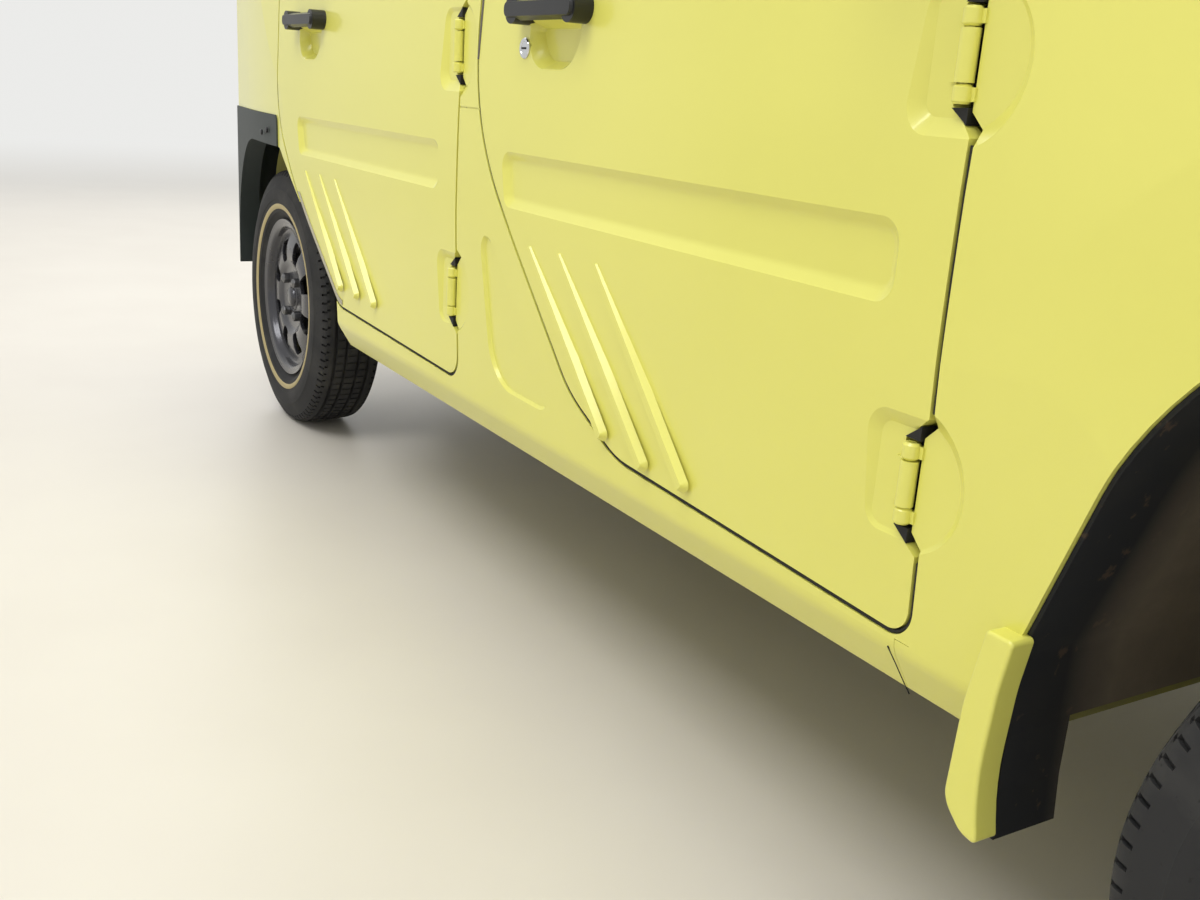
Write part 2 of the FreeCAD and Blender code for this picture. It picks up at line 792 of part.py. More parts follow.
def make_front_panel():
    shell = nose_envelope(grille_setback, 0).cut(prism("z", 0, 1000, plan(bonnet_setback - door_gap)))
    half = bonnet_half + door_gap - seam
    shell = shell.common(box(front_x - 136, front_x, -half, half, panel_low_z, 1000))
    for y in (-lamp_y, lamp_y):
        shell = shell.cut(rod(vec(front_x - 200, y, lamp_z), vec(front_x, y, lamp_z), lamp_radius))
    for row in range(4):
        z = 610 + 46 * row
        slot = [(-310.0, z, 10), (-310.0, z + 26, 10), (310.0, z + 26, 10), (310.0, z, 10)]
        shell = shell.cut(prism("x", front_x - 200, front_x, slot))
    return shell.removeSplitter()


def make_headlamp():
    # a round bowl with a domed lens
    r = lamp_radius - pin_clearance
    face_x = grille_x - 8
    dome_rise = 17
    dome_radius = (r * r + dome_rise * dome_rise) / (2 * dome_rise)
    along = vec(1, 0, 0)
    bowl = Part.makeCone(52, r, 40, vec(face_x - 62, -lamp_y, lamp_z), along)
    drum = Part.makeCylinder(r, 22 + dome_rise, vec(face_x - 22, -lamp_y, lamp_z), along)
    ball = Part.makeSphere(dome_radius, vec(face_x + dome_rise - dome_radius, -lamp_y, lamp_z))
    return bowl.fuse(drum.common(ball)).removeSplitter()


def make_indicator():
    return indicator_block(pin_clearance).common(prism("z", 300, 500, plan(4)))


def indicator_block(inset):
    outline = [(-585.0 + inset, 420.0 + inset, 12), (-585.0 + inset, 480.0 - inset, 12),
               (-455.0 - inset, 480.0 - inset, 12), (-455.0 - inset, 420.0 + inset, 12)]
    return prism("x", front_x - 76, front_x + 5, outline)


bumper_profile = [
    (front_axle_x, bumper_low_z, 0), (front_axle_x, bumper_high_z, 0), (front_x - 22, bumper_high_z, 30),
    (front_x + plan_spare, bumper_high_z - 70, 120), (front_x + plan_spare, bumper_low_z + 90, 120),
    (front_x - 36, bumper_low_z, 40),
]
tow_eye_radius = 9.0
tow_eye_y = -290.0
tow_eye_z = 444.0


def make_front_bumper():
    ring = prism("z", bumper_low_z, bumper_high_z, plan(0)).cut(prism("z", 0, 900, plan(bumper_wall)))
    ring = ring.common(prism("y", -half_width - 5, half_width + 5, bumper_profile))
    ring = ring.cut(prism("y", -half_width - 10, half_width + 10, front_arch))
    ring = ring.common(box(front_axle_x + 100, front_x + 5, -800, 800, 0, 900))
    middle = ring.common(box(0, front_x + 5, -bumper_split_y, bumper_split_y, 0, 900))
    vent = [(-230.0, 350.0, 25), (-230.0, 430.0, 25), (230.0, 430.0, 25), (230.0, 350.0, 25)]
    middle = middle.cut(prism("x", front_x - 90, front_x + 5, vent))
    middle = middle.cut(rod(vec(front_x - 90, tow_eye_y, tow_eye_z), vec(front_x + 5, tow_eye_y, tow_eye_z),
                            tow_eye_radius))
    for y in (-plate_hole_spacing / 2, plate_hole_spacing / 2):
        middle = middle.cut(rod(vec(front_x - 90, y, tow_eye_z), vec(front_x + 5, y, tow_eye_z), plate_hole_radius))
    corner = ring.common(box(0, front_x + 5, -800, -bumper_split_y - seam, 0, 900))
    corner = corner.cut(indicator_block(0))
    return Part.makeCompound([middle, corner, mirrored(corner)])


def make_rear_bumper():
    outer = plan(-3)
    inner = plan(-3 + cladding_wall)
    ring = prism("z", cladding_low_z, cladding_high_z, outer).cut(prism("z", 0, 900, inner))
    ring = ring.common(box(rear_x, rear_door_back_x, -800, 800, 0, 900))
    profile = [(0, cladding_low_z, 0), (0, cladding_high_z, 0), (rear_x + 14, cladding_high_z, 20),
               (rear_x, cladding_high_z - 90, 200), (rear_x, cladding_low_z + 60, 80),
               (rear_x + 30, cladding_low_z, 40)]
    ring = ring.common(prism("y", -800, 800, profile))
    side = ring.common(prism("y", -800, -tailgate_half, cladding_outline)).cut(
        prism("y", -800, 0, rear_arch))
    back = ring.common(box(rear_x, rear_x + 100, -tailgate_half, tailgate_half, 0, tailgate_low_z - 12))
    corner = side.fuse(back.common(box(rear_x, rear_x + 100, -tailgate_half, -440, 0, 900)))
    middle = back.common(box(rear_x, rear_x + 100, -440 + seam, 440 - seam, 0, 900))
    middle = middle.cut(rod(vec(rear_x - 5, tow_eye_y, tow_eye_z), vec(rear_x + 90, tow_eye_y, tow_eye_z),
                            tow_eye_radius))
    return Part.makeCompound([middle, corner.removeSplitter(), mirrored(corner.removeSplitter())])


# Floor, inner front end, liners

side_inner = half_width - frame_wall
heel_x = rear_axle_x + 335.0
firewall_x = cowl_x - 40.0
tunnel_half = 105.0
tunnel_z = floor_z + 40.0
rail_y = 320.0
rail_width = 56.0
wheelhouse_y = 530.0
wheelhouse = [
    (rear_axle_x - 318, 200, 0), (rear_axle_x - 318, rear_arch_top_z + 4, 250),
    (rear_axle_x + 326, rear_arch_top_z + 4, 250), (rear_axle_x + 326, 200, 0),
]
trail_pivot_x = rear_axle_x + 282.0
trail_pivot_y = 455.0
trail_pivot_z = 258.0


def sheet_across(points, thickness):
    # a bent sheet seen along the car: the same line again, one thickness higher
    low = [(p[0], p[1]) for p in points]
    high = [(p[0], p[1] + thickness) for p in reversed(points)]
    return low + high


def make_floor():
    half = side_inner - seam
    line = [(-half, floor_z), (-tunnel_half - 22, floor_z), (-tunnel_half + 22, tunnel_z),
            (tunnel_half - 22, tunnel_z), (tunnel_half + 22, floor_z), (half, floor_z)]
    parts = [prism("x", heel_x, firewall_x - seam, sheet_across(line, floor_sheet))]
    parts.append(box(heel_x, heel_x + floor_sheet, -half, half, floor_z, boot_floor_z + floor_sheet))
    tail_inner = tail_x(500) + 48
    parts.append(box(tail_inner, heel_x + 1, -wheelhouse_y - 4, wheelhouse_y + 4, boot_floor_z,
                     boot_floor_z + floor_sheet))
    parts.append(box(tail_inner, tail_inner + 5, -588, 588, 300, tailgate_low_z - 8))
    for side in (-1, 1):
        low = min(side * wheelhouse_y, side * half)
        high = max(side * wheelhouse_y, side * half)
        hood = prism("y", low, high, wheelhouse).cut(grown("y", low - 1, high + 1, wheelhouse, -4))
        parts.append(hood.common(box(rear_x, heel_x, -900, 900, 268, 900)))
        web = side * (wheelhouse_y + 2)
        parts.append(prism("y", web - 2, web + 2, wheelhouse).common(box(rear_x, heel_x, -900, 900, boot_floor_z, 900)))
        rail = side * (rail_y + rail_width / 2)
        parts.append(box(heel_x, firewall_x - seam, rail - rail_width / 2, rail + rail_width / 2, floor_z - 34,
                         floor_z))
        for plate in (-40, 40):
            y = side * trail_pivot_y + plate
            parts.append(prism("y", y - 3, y + 3, [
                (trail_pivot_x - 34, trail_pivot_z - 34, 20), (trail_pivot_x - 34, boot_floor_z, 0),
                (heel_x + 3, boot_floor_z, 0), (heel_x + 3, trail_pivot_z - 20, 0)]))
    frames = outer_cabin.cut(cabin_envelope(frame_wall + seam, roof_wall))
    return joined(parts).common(prism("z", 0, 1000, plan(frame_wall + seam))).cut(frames).removeSplitter()


def kingpin_point(z, side):
    # a point on the steering axis: it leans in as it rises
    lean = math.tan(math.radians(strut_lean_deg))
    return vec(front_axle_x, side * (kingpin_y - (z - axle_z) * lean), z)


tower_radius = 78.0
spring_radius = 52.0
tower_top_z = 806.0
front_frame_x = front_x - 124.0


def make_front_structure():
    parts = [box(firewall_x, firewall_x + 4, -655, 655, floor_z, 900)]
    parts.append(box(firewall_x, cowl_x + 1, -638, 638, 884, 914))
    parts.append(box(front_frame_x, front_frame_x + 16, -560, 560, 740, 790))
    parts.append(box(front_frame_x, front_frame_x + 16, -560, 560, 330, 400))
    for side in (-1, 1):
        post = side * 663
        parts.append(box(door_front_x + door_gap + 1, firewall_x + 4, post - 8, post + 8, 250, 880))
        upright = side * 530
        parts.append(box(front_frame_x, front_frame_x + 16, upright - 30, upright + 30, 330, 790))
        wing = [(376, 330), (380, 330), (380, arch_top_z + 8), (700, arch_top_z + 36), (700, arch_top_z + 40),
                (376, arch_top_z + 12)]
        wing = [(side * p[0], p[1]) for p in wing]
        web = prism("x", firewall_x, front_x - 140, wing)
        rail = side * (rail_y + rail_width / 2)
        tube = box(firewall_x, front_frame_x + 16, rail - rail_width / 2, rail + rail_width / 2, 330, 400)
        hollow = box(firewall_x + 4, front_frame_x + 20, rail - rail_width / 2 + 4, rail + rail_width / 2 - 4, 334, 396)
        low = kingpin_point(655, side)
        high = kingpin_point(tower_top_z, side)
        tower = rod(low, high, tower_radius)
        core = rod(kingpin_point(600, side), kingpin_point(tower_top_z - 6, side), tower_radius - 6)
        parts.append(web.cut(core))
        parts.append(tube.cut(hollow))
        parts.append(tower.cut(core))
    body = joined(parts).common(nose_envelope(fender_wall + 1, lid_wall + 4))
    ears = []
    for side in (-1, 1):
        y = side * bonnet_hinge_y
        ears.append(box(firewall_x, bonnet_hinge_x + 10, y - 26, y + 26, 880, 886))
        for y in (side * bonnet_hinge_y - 15.5, side * bonnet_hinge_y + 15.5):
            ear = prism("y", y - 3, y + 3, [
                (bonnet_hinge_x - 6.5, 880, 0), (bonnet_hinge_x - 6.5, bonnet_hinge_z + 6.5, 6),
                (bonnet_hinge_x + 6.5, bonnet_hinge_z + 6.5, 6), (bonnet_hinge_x + 6.5, 880, 0)])
            hole = rod(vec(bonnet_hinge_x, y - 5, bonnet_hinge_z), vec(bonnet_hinge_x, y + 5, bonnet_hinge_z),
                       hinge_pin_radius + pin_clearance)
            ears.append(ear.cut(hole))
    return joined([body] + ears)


liner_inner_y = 396.0
fender_lip = 4.0


def make_arch_liner():
    outer_y = -half_width + fender_lip + seam
    bent = grown("y", outer_y, -liner_inner_y, front_arch, -seam)
    bent = bent.cut(grown("y", outer_y - 1, -liner_inner_y + 1, front_arch, -4))
    bent = bent.common(box(arch_back_x - 5, front_axle_x + 340, outer_y, -liner_inner_y, 290, arch_top_z + 10))
    bent = bent.common(nose_envelope(fender_lip + seam))
    bent = bent.cut(rod(kingpin_point(500, -1), kingpin_point(760, -1), tower_radius + 2))
    bent = bent.cut(grown("y", -half_width - 10, -half_width + guard_depth + seam, mud_guard, seam))
    return bent.fuse(make_mud_flap())


guard_depth = 14.0
flap_reach = 86.0
mud_guard = [
    (arch_back_x - 10.5, 374, 4), (arch_back_x - 21.5, 310, 160), (arch_back_x - 25.5, 225, 24),
    (arch_back_x - 4.5, 206, 20), (arch_back_x + 12.5, 204, 4), (arch_back_x + 3.5, 250, 240),
    (arch_back_x + 8.5, 330, 200), (arch_back_x + 15.5, 374, 4),
]


def make_mud_guard():
    # a curved guard on the arch's rear edge, proud of the fender, its outer edge eased
    outer = prism("y", -half_width - 9, -half_width + guard_depth, mud_guard)
    face_edges = [edge for edge in outer.Edges if edge.BoundBox.YMax < -half_width - 8.9]
    return outer.makeFillet(3, face_edges).cut(make_fender_volume())


def make_mud_flap():
    # the black flap inboard of the guard, one with the liner
    flap = [
        (arch_back_x + 8, 200), (arch_back_x + 4, 200), (arch_back_x + seam, 240), (arch_back_x + seam, 302),
        (arch_back_x + 4, 302), (arch_back_x + 5, 288), (arch_back_x + 5, 240),
    ]
    return prism("y", -half_width + fender_wall + seam, -half_width + flap_reach, flap)


def make_fender_volume():
    # the space the fender's skin fills behind the wheel, with a seam
    shell = outer_nose.cut(nose_envelope(fender_wall + seam))
    region = box(door_front_x - 12, arch_back_x + 40, -half_width - 10, -600, 0, 500).cut(
        prism("y", -900, 0, front_arch))
    return shell.common(region)


# Wheels and tyres, drawn in their own frame: y = 0 at the middle plane, outward is negative

flange_half = 60.0
wheel_face = -42.0


def revolve(points):
    # points are radius and y; the outline turns about the y axis
    loop = [vec(p[0], p[1], 0) for p in points]
    edges = [Part.LineSegment(loop[i - 1], loop[i]).toShape() for i in range(len(loop))]
    return Part.Face(Part.Wire(edges)).revolve(vec(0, 0, 0), vec(0, 1, 0), 360)


def make_wheel():
    half = flange_half
    profile = [
        (rim_radius, -half), (rim_radius, -half + 4), (152, -half + 8), (150, -20), (136, -8), (136, 22),
        (152, half - 8), (rim_radius, half - 4), (rim_radius, half), (148, half - 6),
        (132, 24), (132, -24), (120, -34), (96, -38), (52, -32), (48, -2), (28, -2), (28, wheel_face),
        (72, wheel_face), (98, -49), (124, -44), (144, -46), (149, -half + 6),
    ]
    wheel = revolve(profile)
    hole_count = 8
    for i in range(hole_count):
        angle = math.radians(360.0 * i / hole_count + 22.5)
        outline = [(88, -19, 15), (88, 19, 15), (119, 25, 15), (119, -25, 15)]
        window = prism("y", -60, 20, outline)
        window.rotate(vec(0, 0, 0), vec(0, 1, 0), math.degrees(angle))
        wheel = wheel.cut(window)
    nuts = []
    for i in range(4):
        angle = math.radians(90.0 * i + 45)
        centre = vec(50 * math.cos(angle), wheel_face, 50 * math.sin(angle))
        nuts.append(rod(centre, centre + vec(0, -13, 0), 9))
    return wheel.fuse(nuts)


def make_tyre():
    edge = tyre_width / 2
    r = tyre_radius
    profile = [
        (r, -42), (r - 3, -54), (r - 12, -62), (r - 32, -edge + 2), (r - 50, -edge), (r - 72, -edge + 3),
        (rim_radius + 9, -half_bead()), (rim_radius - 8, -half_bead() + 4), (154, -30), (154, 30),
        (rim_radius - 8, half_bead() - 4), (rim_radius + 9, half_bead()), (r - 72, edge - 3), (r - 50, edge),
        (r - 32, edge - 2), (r - 12, 62), (r - 3, 54), (r, 42),
    ]
    return revolve(profile)


def half_bead():
    return flange_half - 6.0


def at_wheel(shape, x, side):
    # right wheels are drawn as they are, left wheels are their mirror image
    copy = shape if side < 0 else mirrored(shape)
    copy = copy.copy()
    copy.translate(vec(x, side * track_half, axle_z))
    return copy


# Front knuckle with its strut, upright and straight ahead

spindle_radius = 24.0


def make_knuckle(side):
    top = kingpin_point(tower_top_z - 6 - 1.6, side)
    low = kingpin_point(300, side)
    parts = [rod(low, kingpin_point(560, side), 22)]
    parts.append(rod(kingpin_point(500, side), top, 12))
    parts.append(rod(kingpin_point(545, side), kingpin_point(557, side), 66))
    parts.append(rod(kingpin_point(557, side), kingpin_point(786, side), spring_radius))
    parts.append(rod(kingpin_point(786, side), top, 60))
    inner = side * 546
    outer = side * (track_half - 16)
    parts.append(rod(vec(front_axle_x, inner, axle_z), vec(front_axle_x, outer, axle_z), 44))
    parts.append(rod(vec(front_axle_x, side * 582, axle_z), vec(front_axle_x, side * 588, axle_z), 98))
    parts.append(rod(vec(front_axle_x, outer, axle_z), vec(front_axle_x, side * (track_half + 28), axle_z),
                     spindle_radius))
    column = [(front_axle_x - 26, axle_z - 40), (front_axle_x + 26, axle_z - 40), (front_axle_x + 22, 345),
              (front_axle_x - 22, 345)]
    low_y = min(side * 546, side * 590)
    high_y = max(side * 546, side * 590)
    parts.append(prism("y", low_y, high_y, column))
    parts.append(rod(kingpin_point(ball_z + 20, side), vec(front_axle_x, side * 576, axle_z - 20), 14))
    return joined(parts)


ball_z = 148.0


def make_front_subframe():
    x = front_axle_x
    parts = [box(x - 60, x + 60, -330, 330, 168, 214)]
    for side in (-1, 1):
        for leg in (x - 60, x + 44):
            parts.append(box(leg, leg + 16, min(side * 322, side * 374), max(side * 322, side * 374), 168,
                             330 - seam))
        ball = kingpin_point(ball_z, side)
        arm = [(x - 200, side * 330, 20), (x - 200, side * 372, 20), (x - 60, side * 410, 60),
               (x - 20, side * (abs(ball.y) + 20), 19), (x + 20, side * (abs(ball.y) + 20), 19),
               (x + 30, side * 420, 30), (x + 50, side * 330, 20)]
        parts.append(prism("z", ball_z - 7, ball_z + 7, arm))
        parts.append(rod(vec(x - 180, side * 351, ball_z), vec(x - 180, side * 351, floor_z - 35), 18))
        parts.append(rod(ball, kingpin_point(ball_z + 12, side), 13))
        parts.append(box(x - 60, x + 60, min(side * 300, side * 340), max(side * 300, side * 340), ball_z - 7, 180))
    parts.append(rod(vec(x - 130, -300, 196), vec(x - 130, 300, 196), 22))
    parts.append(box(x - 140, x - 40, -200, -160, 180, 210))
    parts.append(box(x - 140, x - 40, 160, 200, 180, 210))
    return joined(parts)


def make_rear_suspension():
    parts = []
    for side in (-1, 1):
        pivot = vec(trail_pivot_x, side * trail_pivot_y, trail_pivot_z)
        parts.append(rod(pivot - vec(0, 36, 0), pivot + vec(0, 36, 0), 26))
        hub = vec(rear_axle_x, side * 470, axle_z)
        arm = [(trail_pivot_x, trail_pivot_z + 22, 0), (rear_axle_x - 20, axle_z + 34, 20),
               (rear_axle_x - 30, axle_z - 34, 20), (trail_pivot_x, trail_pivot_z - 22, 0)]
        y0 = min(side * 440, side * 486)
        y1 = max(side * 440, side * 486)
        parts.append(prism("y", y0, y1, arm))
        parts.append(rod(hub, vec(rear_axle_x, side * (track_half - 16), axle_z), 44))
        parts.append(rod(vec(rear_axle_x, side * 578, axle_z), vec(rear_axle_x, side * 588, axle_z), 108))
        parts.append(rod(vec(rear_axle_x, side * (track_half - 16), axle_z),
                         vec(rear_axle_x, side * (track_half + 28), axle_z), spindle_radius))
        foot = vec(rear_axle_x - 12, side * 470, axle_z + 20)
        parts.append(rod(foot, vec(rear_axle_x - 40, side * 470, boot_floor_z - 5), 20))
        seat = vec(rear_axle_x + 130, side * 450, axle_z)
        parts.append(rod(seat, vec(rear_axle_x + 130, side * 450, boot_floor_z - seam), 46))
    beam = [(rear_axle_x + 170, 240, 10), (rear_axle_x + 205, 300, 14), (rear_axle_x + 240, 240, 10)]
    parts.append(prism("y", -450, 450, beam))
    return joined(parts)


# Drive, exhaust, tank

tank_low_z = 190.0


def make_engine():
    x = front_axle_x
    block = prism("y", -320, 316, [(x - 190, 250, 30), (x - 230, 560, 60), (x - 150, 720, 40), (x + 120, 720, 40),
                                   (x + 180, 560, 40), (x + 150, 250, 40)])
    parts = [block]
    for side in (-1, 1):
        parts.append(rod(vec(x, side * 300, axle_z), vec(x, side * 500, axle_z), 13))
        parts.append(rod(vec(x, side * 300, axle_z), vec(x, side * 350, axle_z), 38))
        parts.append(rod(vec(x, side * 466, axle_z), vec(x, side * 508, axle_z), 30))
    parts.append(box(x - 40, x + 40, -320, -200, 214.5, 260))
    parts.append(box(x - 40, x + 40, 200, 316, 214.5, 260))
    return joined(parts)


def make_exhaust():
    y = 40.0
    z = floor_z - 26
    route = [vec(front_axle_x - 236, y, 330), vec(front_axle_x - 290, y, z), vec(rear_axle_x + 420, y, z),
             vec(rear_axle_x + 360, y, z - 32), vec(rear_axle_x - 60, y, z - 32)]
    parts = []
    for i in range(len(route) - 1):
        parts.append(rod(route[i], route[i + 1], 20))
        parts.append(Part.makeSphere(20, route[i + 1]))
    muffler = prism("y", -180, 260, [(rear_axle_x - 60, 180, 45), (rear_axle_x - 60, 300, 45),
                                     (rear_axle_x - 260, 300, 45), (rear_axle_x - 260, 180, 45)])
    parts.append(muffler)
    parts.append(rod(vec(rear_axle_x - 230, -140, 230), vec(rear_x + 40, -140, 230), 16))
    for x, low in ((rear_axle_x - 110, 296), (rear_axle_x - 210, 296)):
        parts.append(box(x - 8, x + 8, 30, 50, low, boot_floor_z - seam))
    parts.append(box(-40, -24, y - 6, y + 6, z, tunnel_z - seam))
    pipe = joined(parts)
    return pipe


def make_tank():
    outline = [(heel_x + 40, 390, 50), (heel_x + 40, 630, 50), (heel_x + 620, 630, 50), (heel_x + 620, 390, 50)]
    return prism("z", tank_low_z, floor_z - seam, outline)


# Cabin

seat_y = 335.0
seat_width = 470.0
cushion_z = 330.0


def seat_profile(x):
    return [
        (x + 250, cushion_z + 20, 40), (x + 255, cushion_z + 145, 50), (x - 150, cushion_z + 120, 40),
        (x - 250, 960, 60), (x - 262, 1120, 40), (x - 345, 1110, 40), (x - 335, 960, 60),
        (x - 270, cushion_z, 60),
    ]


front_seat_x = front_axle_x - 1010.0
rear_seat_x = rear_axle_x + 640.0


def make_front_seat():
    return prism("y", -seat_y - seat_width / 2, -seat_y + seat_width / 2, seat_profile(front_seat_x))


def make_rear_seat():
    half = wheelhouse_y + 60
    x = rear_seat_x
    profile = [
        (x + 200, cushion_z + 20, 40), (x + 210, cushion_z + 140, 50), (x - 170, cushion_z + 120, 40),
        (x - 245, 980, 34), (x - 335, 975, 34), (x - 268, cushion_z, 50),
    ]
    return prism("y", -half, half, profile)


def make_seat_rails():
    parts = []
    for side in (-1, 1):
        y = side * seat_y
        for edge in (-170, 170):
            parts.append(box(front_seat_x - 200, front_seat_x + 210, y + edge - 18, y + edge + 18,
                             floor_z + floor_sheet + seam, cushion_z - seam))
    bench = box(rear_seat_x - 240, rear_seat_x + 190, -560, 560, tunnel_z + floor_sheet + 4, cushion_z - seam)
    for y in (-540, -300, 300, 540):
        bench = bench.fuse(box(rear_seat_x - 200, rear_seat_x + 180, y - 15, y + 15, floor_z + floor_sheet + seam,
                               cushion_z - seam))
    parts.append(bench.removeSplitter())
    return Part.makeCompound(parts)


wheel_centre = vec(front_axle_x - 700, -seat_y, 800)
column_tilt_deg = 24.0
column_way = vec(math.cos(math.radians(column_tilt_deg)), 0, -math.sin(math.radians(column_tilt_deg)))
steering_wheel_radius = 178.0
steering_ratio = 15.0
dash_half = side_inner - 31.5


def make_dashboard():
    x = firewall_x - seam
    profile = [(x, 560, 0), (x, 884, 0), (x - 120, 905, 50), (x - 210, 850, 50), (x - 190, 700, 60),
               (x - 90, 560, 30)]
    board = prism("y", -dash_half, dash_half, profile)
    start = wheel_centre + column_way * 40.3
    return board.fuse(rod(start, start + column_way * 240, 30)).removeSplitter()


def make_steering_wheel():
    # drawn flat about its own axis, then leaned to the column
    section = [vec(steering_wheel_radius + 13 * math.cos(i * math.pi / 5), 0, 13 * math.sin(i * math.pi / 5))
               for i in range(10)]
    rim = Part.Face(Part.makePolygon(section + section[:1])).revolve(vec(0, 0, 0), vec(0, 0, 1), 360)
    parts = [rim, rod(vec(0, 0, 8), vec(0, 0, 40), 26), rod(vec(0, 0, -6), vec(0, 0, 22), 58)]
    for angle in (0, 180, 270):
        spoke = box(30, steering_wheel_radius, -15, 15, -4, 6)
        spoke.rotate(vec(0, 0, 0), vec(0, 0, 1), angle)
        parts.append(spoke)
    wheel = joined(parts)
    wheel.rotate(vec(0, 0, 0), vec(0, 0, 1), steered_rest_deg * steering_ratio)
    turn = FreeCAD.Rotation(vec(0, 1, 0).cross(column_way), vec(0, 1, 0), column_way, "XYZ")
    wheel.Placement = FreeCAD.Placement(wheel_centre, turn)
    return wheel


def make_radiator():
    back = front_frame_x + 16 + seam
    return box(back, back + 26, -370, 370, 340, 750)


# Everything in its node

os.makedirs("parts", exist_ok=True)

front_door_right = make_front_door()
rear_door_right = make_rear_door()
side_frame = make_side_frame()
fittings_right = Part.makeCompound([make_mirror(), pull_handle(front_handle_x)])
sides = [
    ("door_front", front_door_right), ("door_rear", rear_door_right),
    ("glass_front", door_glass(front_window)), ("glass_rear", door_glass(rear_window)),
    ("side_frame", side_frame),
    ("mirror_and_handle", fittings_right), ("handle_rear", pull_handle(rear_handle_x)),
]
for name, shape in sides:
    save(name + "_right", shape)
    save(name + "_left", mirrored(shape))

save("windscreen", make_windscreen())
save("roof_panel", make_roof())
save("front_fenders", Part.makeCompound([both_sides(make_fender()), both_sides(make_mud_guard())]))
save("bonnet", make_bonnet())
save("front_panel", make_front_panel())
save("headlamps", Part.makeCompound([both_sides(make_headlamp()), both_sides(make_indicator())]))
save("front_bumper", make_front_bumper())
save("rear_bumper", make_rear_bumper())
save("tailgate", make_tailgate())
save("tailgate_glass", make_tailgate_glass())
save("tail_lamps", both_sides(make_tail_lamp()))
save("floor_pan", make_floor())
save("front_structure", make_front_structure())
save("arch_liners", both_sides(make_arch_liner()))
save("front_subframe", make_front_subframe())
save("rear_suspension", make_rear_suspension())
save("engine_block", make_engine())
save("exhaust", make_exhaust())
save("fuel_tank", make_tank())
save("radiator", make_radiator())
save("seats", Part.makeCompound([both_sides(make_front_seat()), make_rear_seat()]))
save("seat_rails", make_seat_rails())
save("dashboard", make_dashboard())
save("steering_wheel", make_steering_wheel())

wheel = make_wheel()
tyre = make_tyre()
for name, side in (("right", -1), ("left", 1)):
    save("wheel_rear_" + name, at_wheel(wheel, rear_axle_x, side))
    save("tyre_rear_" + name, at_wheel(tyre, rear_axle_x, side))
    # the front corner is drawn straight ahead, then turned about its leaning steering axis
    foot = kingpin_point(axle_z, side)
    axis = (kingpin_point(600, side) - foot).normalize()
    corner = [("tyre_front_", at_wheel(tyre, front_axle_x, side)),
              ("wheel_front_", at_wheel(wheel, front_axle_x, side)), ("knuckle_", make_knuckle(side))]
    settle = None
    for label, shape in corner:
        turned = shape.copy()
        turned.rotate(foot, axis, steered_rest_deg)
        if settle is None:
            # the springs let the corner rise until the turned tyre just meets the ground
            settle = vec(0, 0, -turned.BoundBox.ZMin)
        turned.translate(settle)
        save(label + name, turned)
    steer = FreeCAD.Rotation(axis, steered_rest_deg)
    spin = steer.multVec(vec(0, 1, 0))
    centre = foot + steer.multVec(vec(front_axle_x, side * track_half, axle_z) - foot) + settle
    print("steering axis", name, foot + settle, axis)
    print("front wheel", name, centre, spin)
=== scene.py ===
import bpy
import math
from mathutils import Matrix, Vector
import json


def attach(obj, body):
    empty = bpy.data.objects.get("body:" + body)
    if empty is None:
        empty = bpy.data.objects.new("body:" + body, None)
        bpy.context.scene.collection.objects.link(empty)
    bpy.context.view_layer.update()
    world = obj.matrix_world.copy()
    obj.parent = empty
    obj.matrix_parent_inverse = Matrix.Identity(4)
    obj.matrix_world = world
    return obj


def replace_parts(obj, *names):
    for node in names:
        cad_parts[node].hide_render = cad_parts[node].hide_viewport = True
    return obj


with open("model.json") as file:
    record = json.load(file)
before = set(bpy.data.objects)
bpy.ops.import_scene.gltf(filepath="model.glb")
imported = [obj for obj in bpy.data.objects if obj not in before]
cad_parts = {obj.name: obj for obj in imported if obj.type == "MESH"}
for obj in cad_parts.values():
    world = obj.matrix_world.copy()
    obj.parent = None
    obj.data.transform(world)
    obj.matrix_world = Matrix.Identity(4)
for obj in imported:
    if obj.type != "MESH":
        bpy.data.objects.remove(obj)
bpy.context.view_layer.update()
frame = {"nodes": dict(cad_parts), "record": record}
print("frame loaded")

# what the other values hang on, as in the part; apart from the stage, every length here is in millimetres
car = {
    "frontAxleX": 1072.5, "rearAxleX": -1287.5, "axleZ": 267, "trackHalf": 617.5, "kingpinY": 560,
    "leanDegrees": 12, "steeredDegrees": 20, "settle": 1.2, "wheelFace": -42,
}
shell = ("body", "body")
frontDoors = ("door_front_right", "door_front_left")
rearDoors = ("door_rear_right", "door_rear_left")
toLeft = Matrix.Scale(-1, 4, (0, 1, 0))


# modelling by hand, in small steps

def deselectAll():
    if bpy.context.object and bpy.context.object.mode != "OBJECT":
        bpy.ops.object.mode_set(mode="OBJECT")
    bpy.ops.object.select_all(action="DESELECT")


def only(piece):
    deselectAll()
    piece.select_set(True)
    bpy.context.view_layer.objects.active = piece
    return piece


def fresh(name):
    # the primitive just added, with its place moved into its mesh
    piece = bpy.context.object
    piece.name = name
    piece.data.name = name
    only(piece)
    bpy.ops.object.transform_apply(location=True, rotation=True, scale=True)
    return piece


def addBlock(name, low, high):
    deselectAll()
    middle = [(a + b) / 2000 for a, b in zip(low, high)]
    size = [abs(b - a) / 1000 for a, b in zip(low, high)]
    bpy.ops.mesh.primitive_cube_add(size=1, location=middle, scale=size)
    return fresh(name)


def addDrum(name, centre, radius, depth, way, vertices):
    # a round bar whose axis points along way
    deselectAll()
    turn = Vector(way).to_track_quat("Z", "Y").to_euler()
    bpy.ops.mesh.primitive_cylinder_add(vertices=vertices, radius=radius / 1000, depth=depth / 1000,
                                        location=Vector(centre) / 1000, rotation=turn)
    return fresh(name)


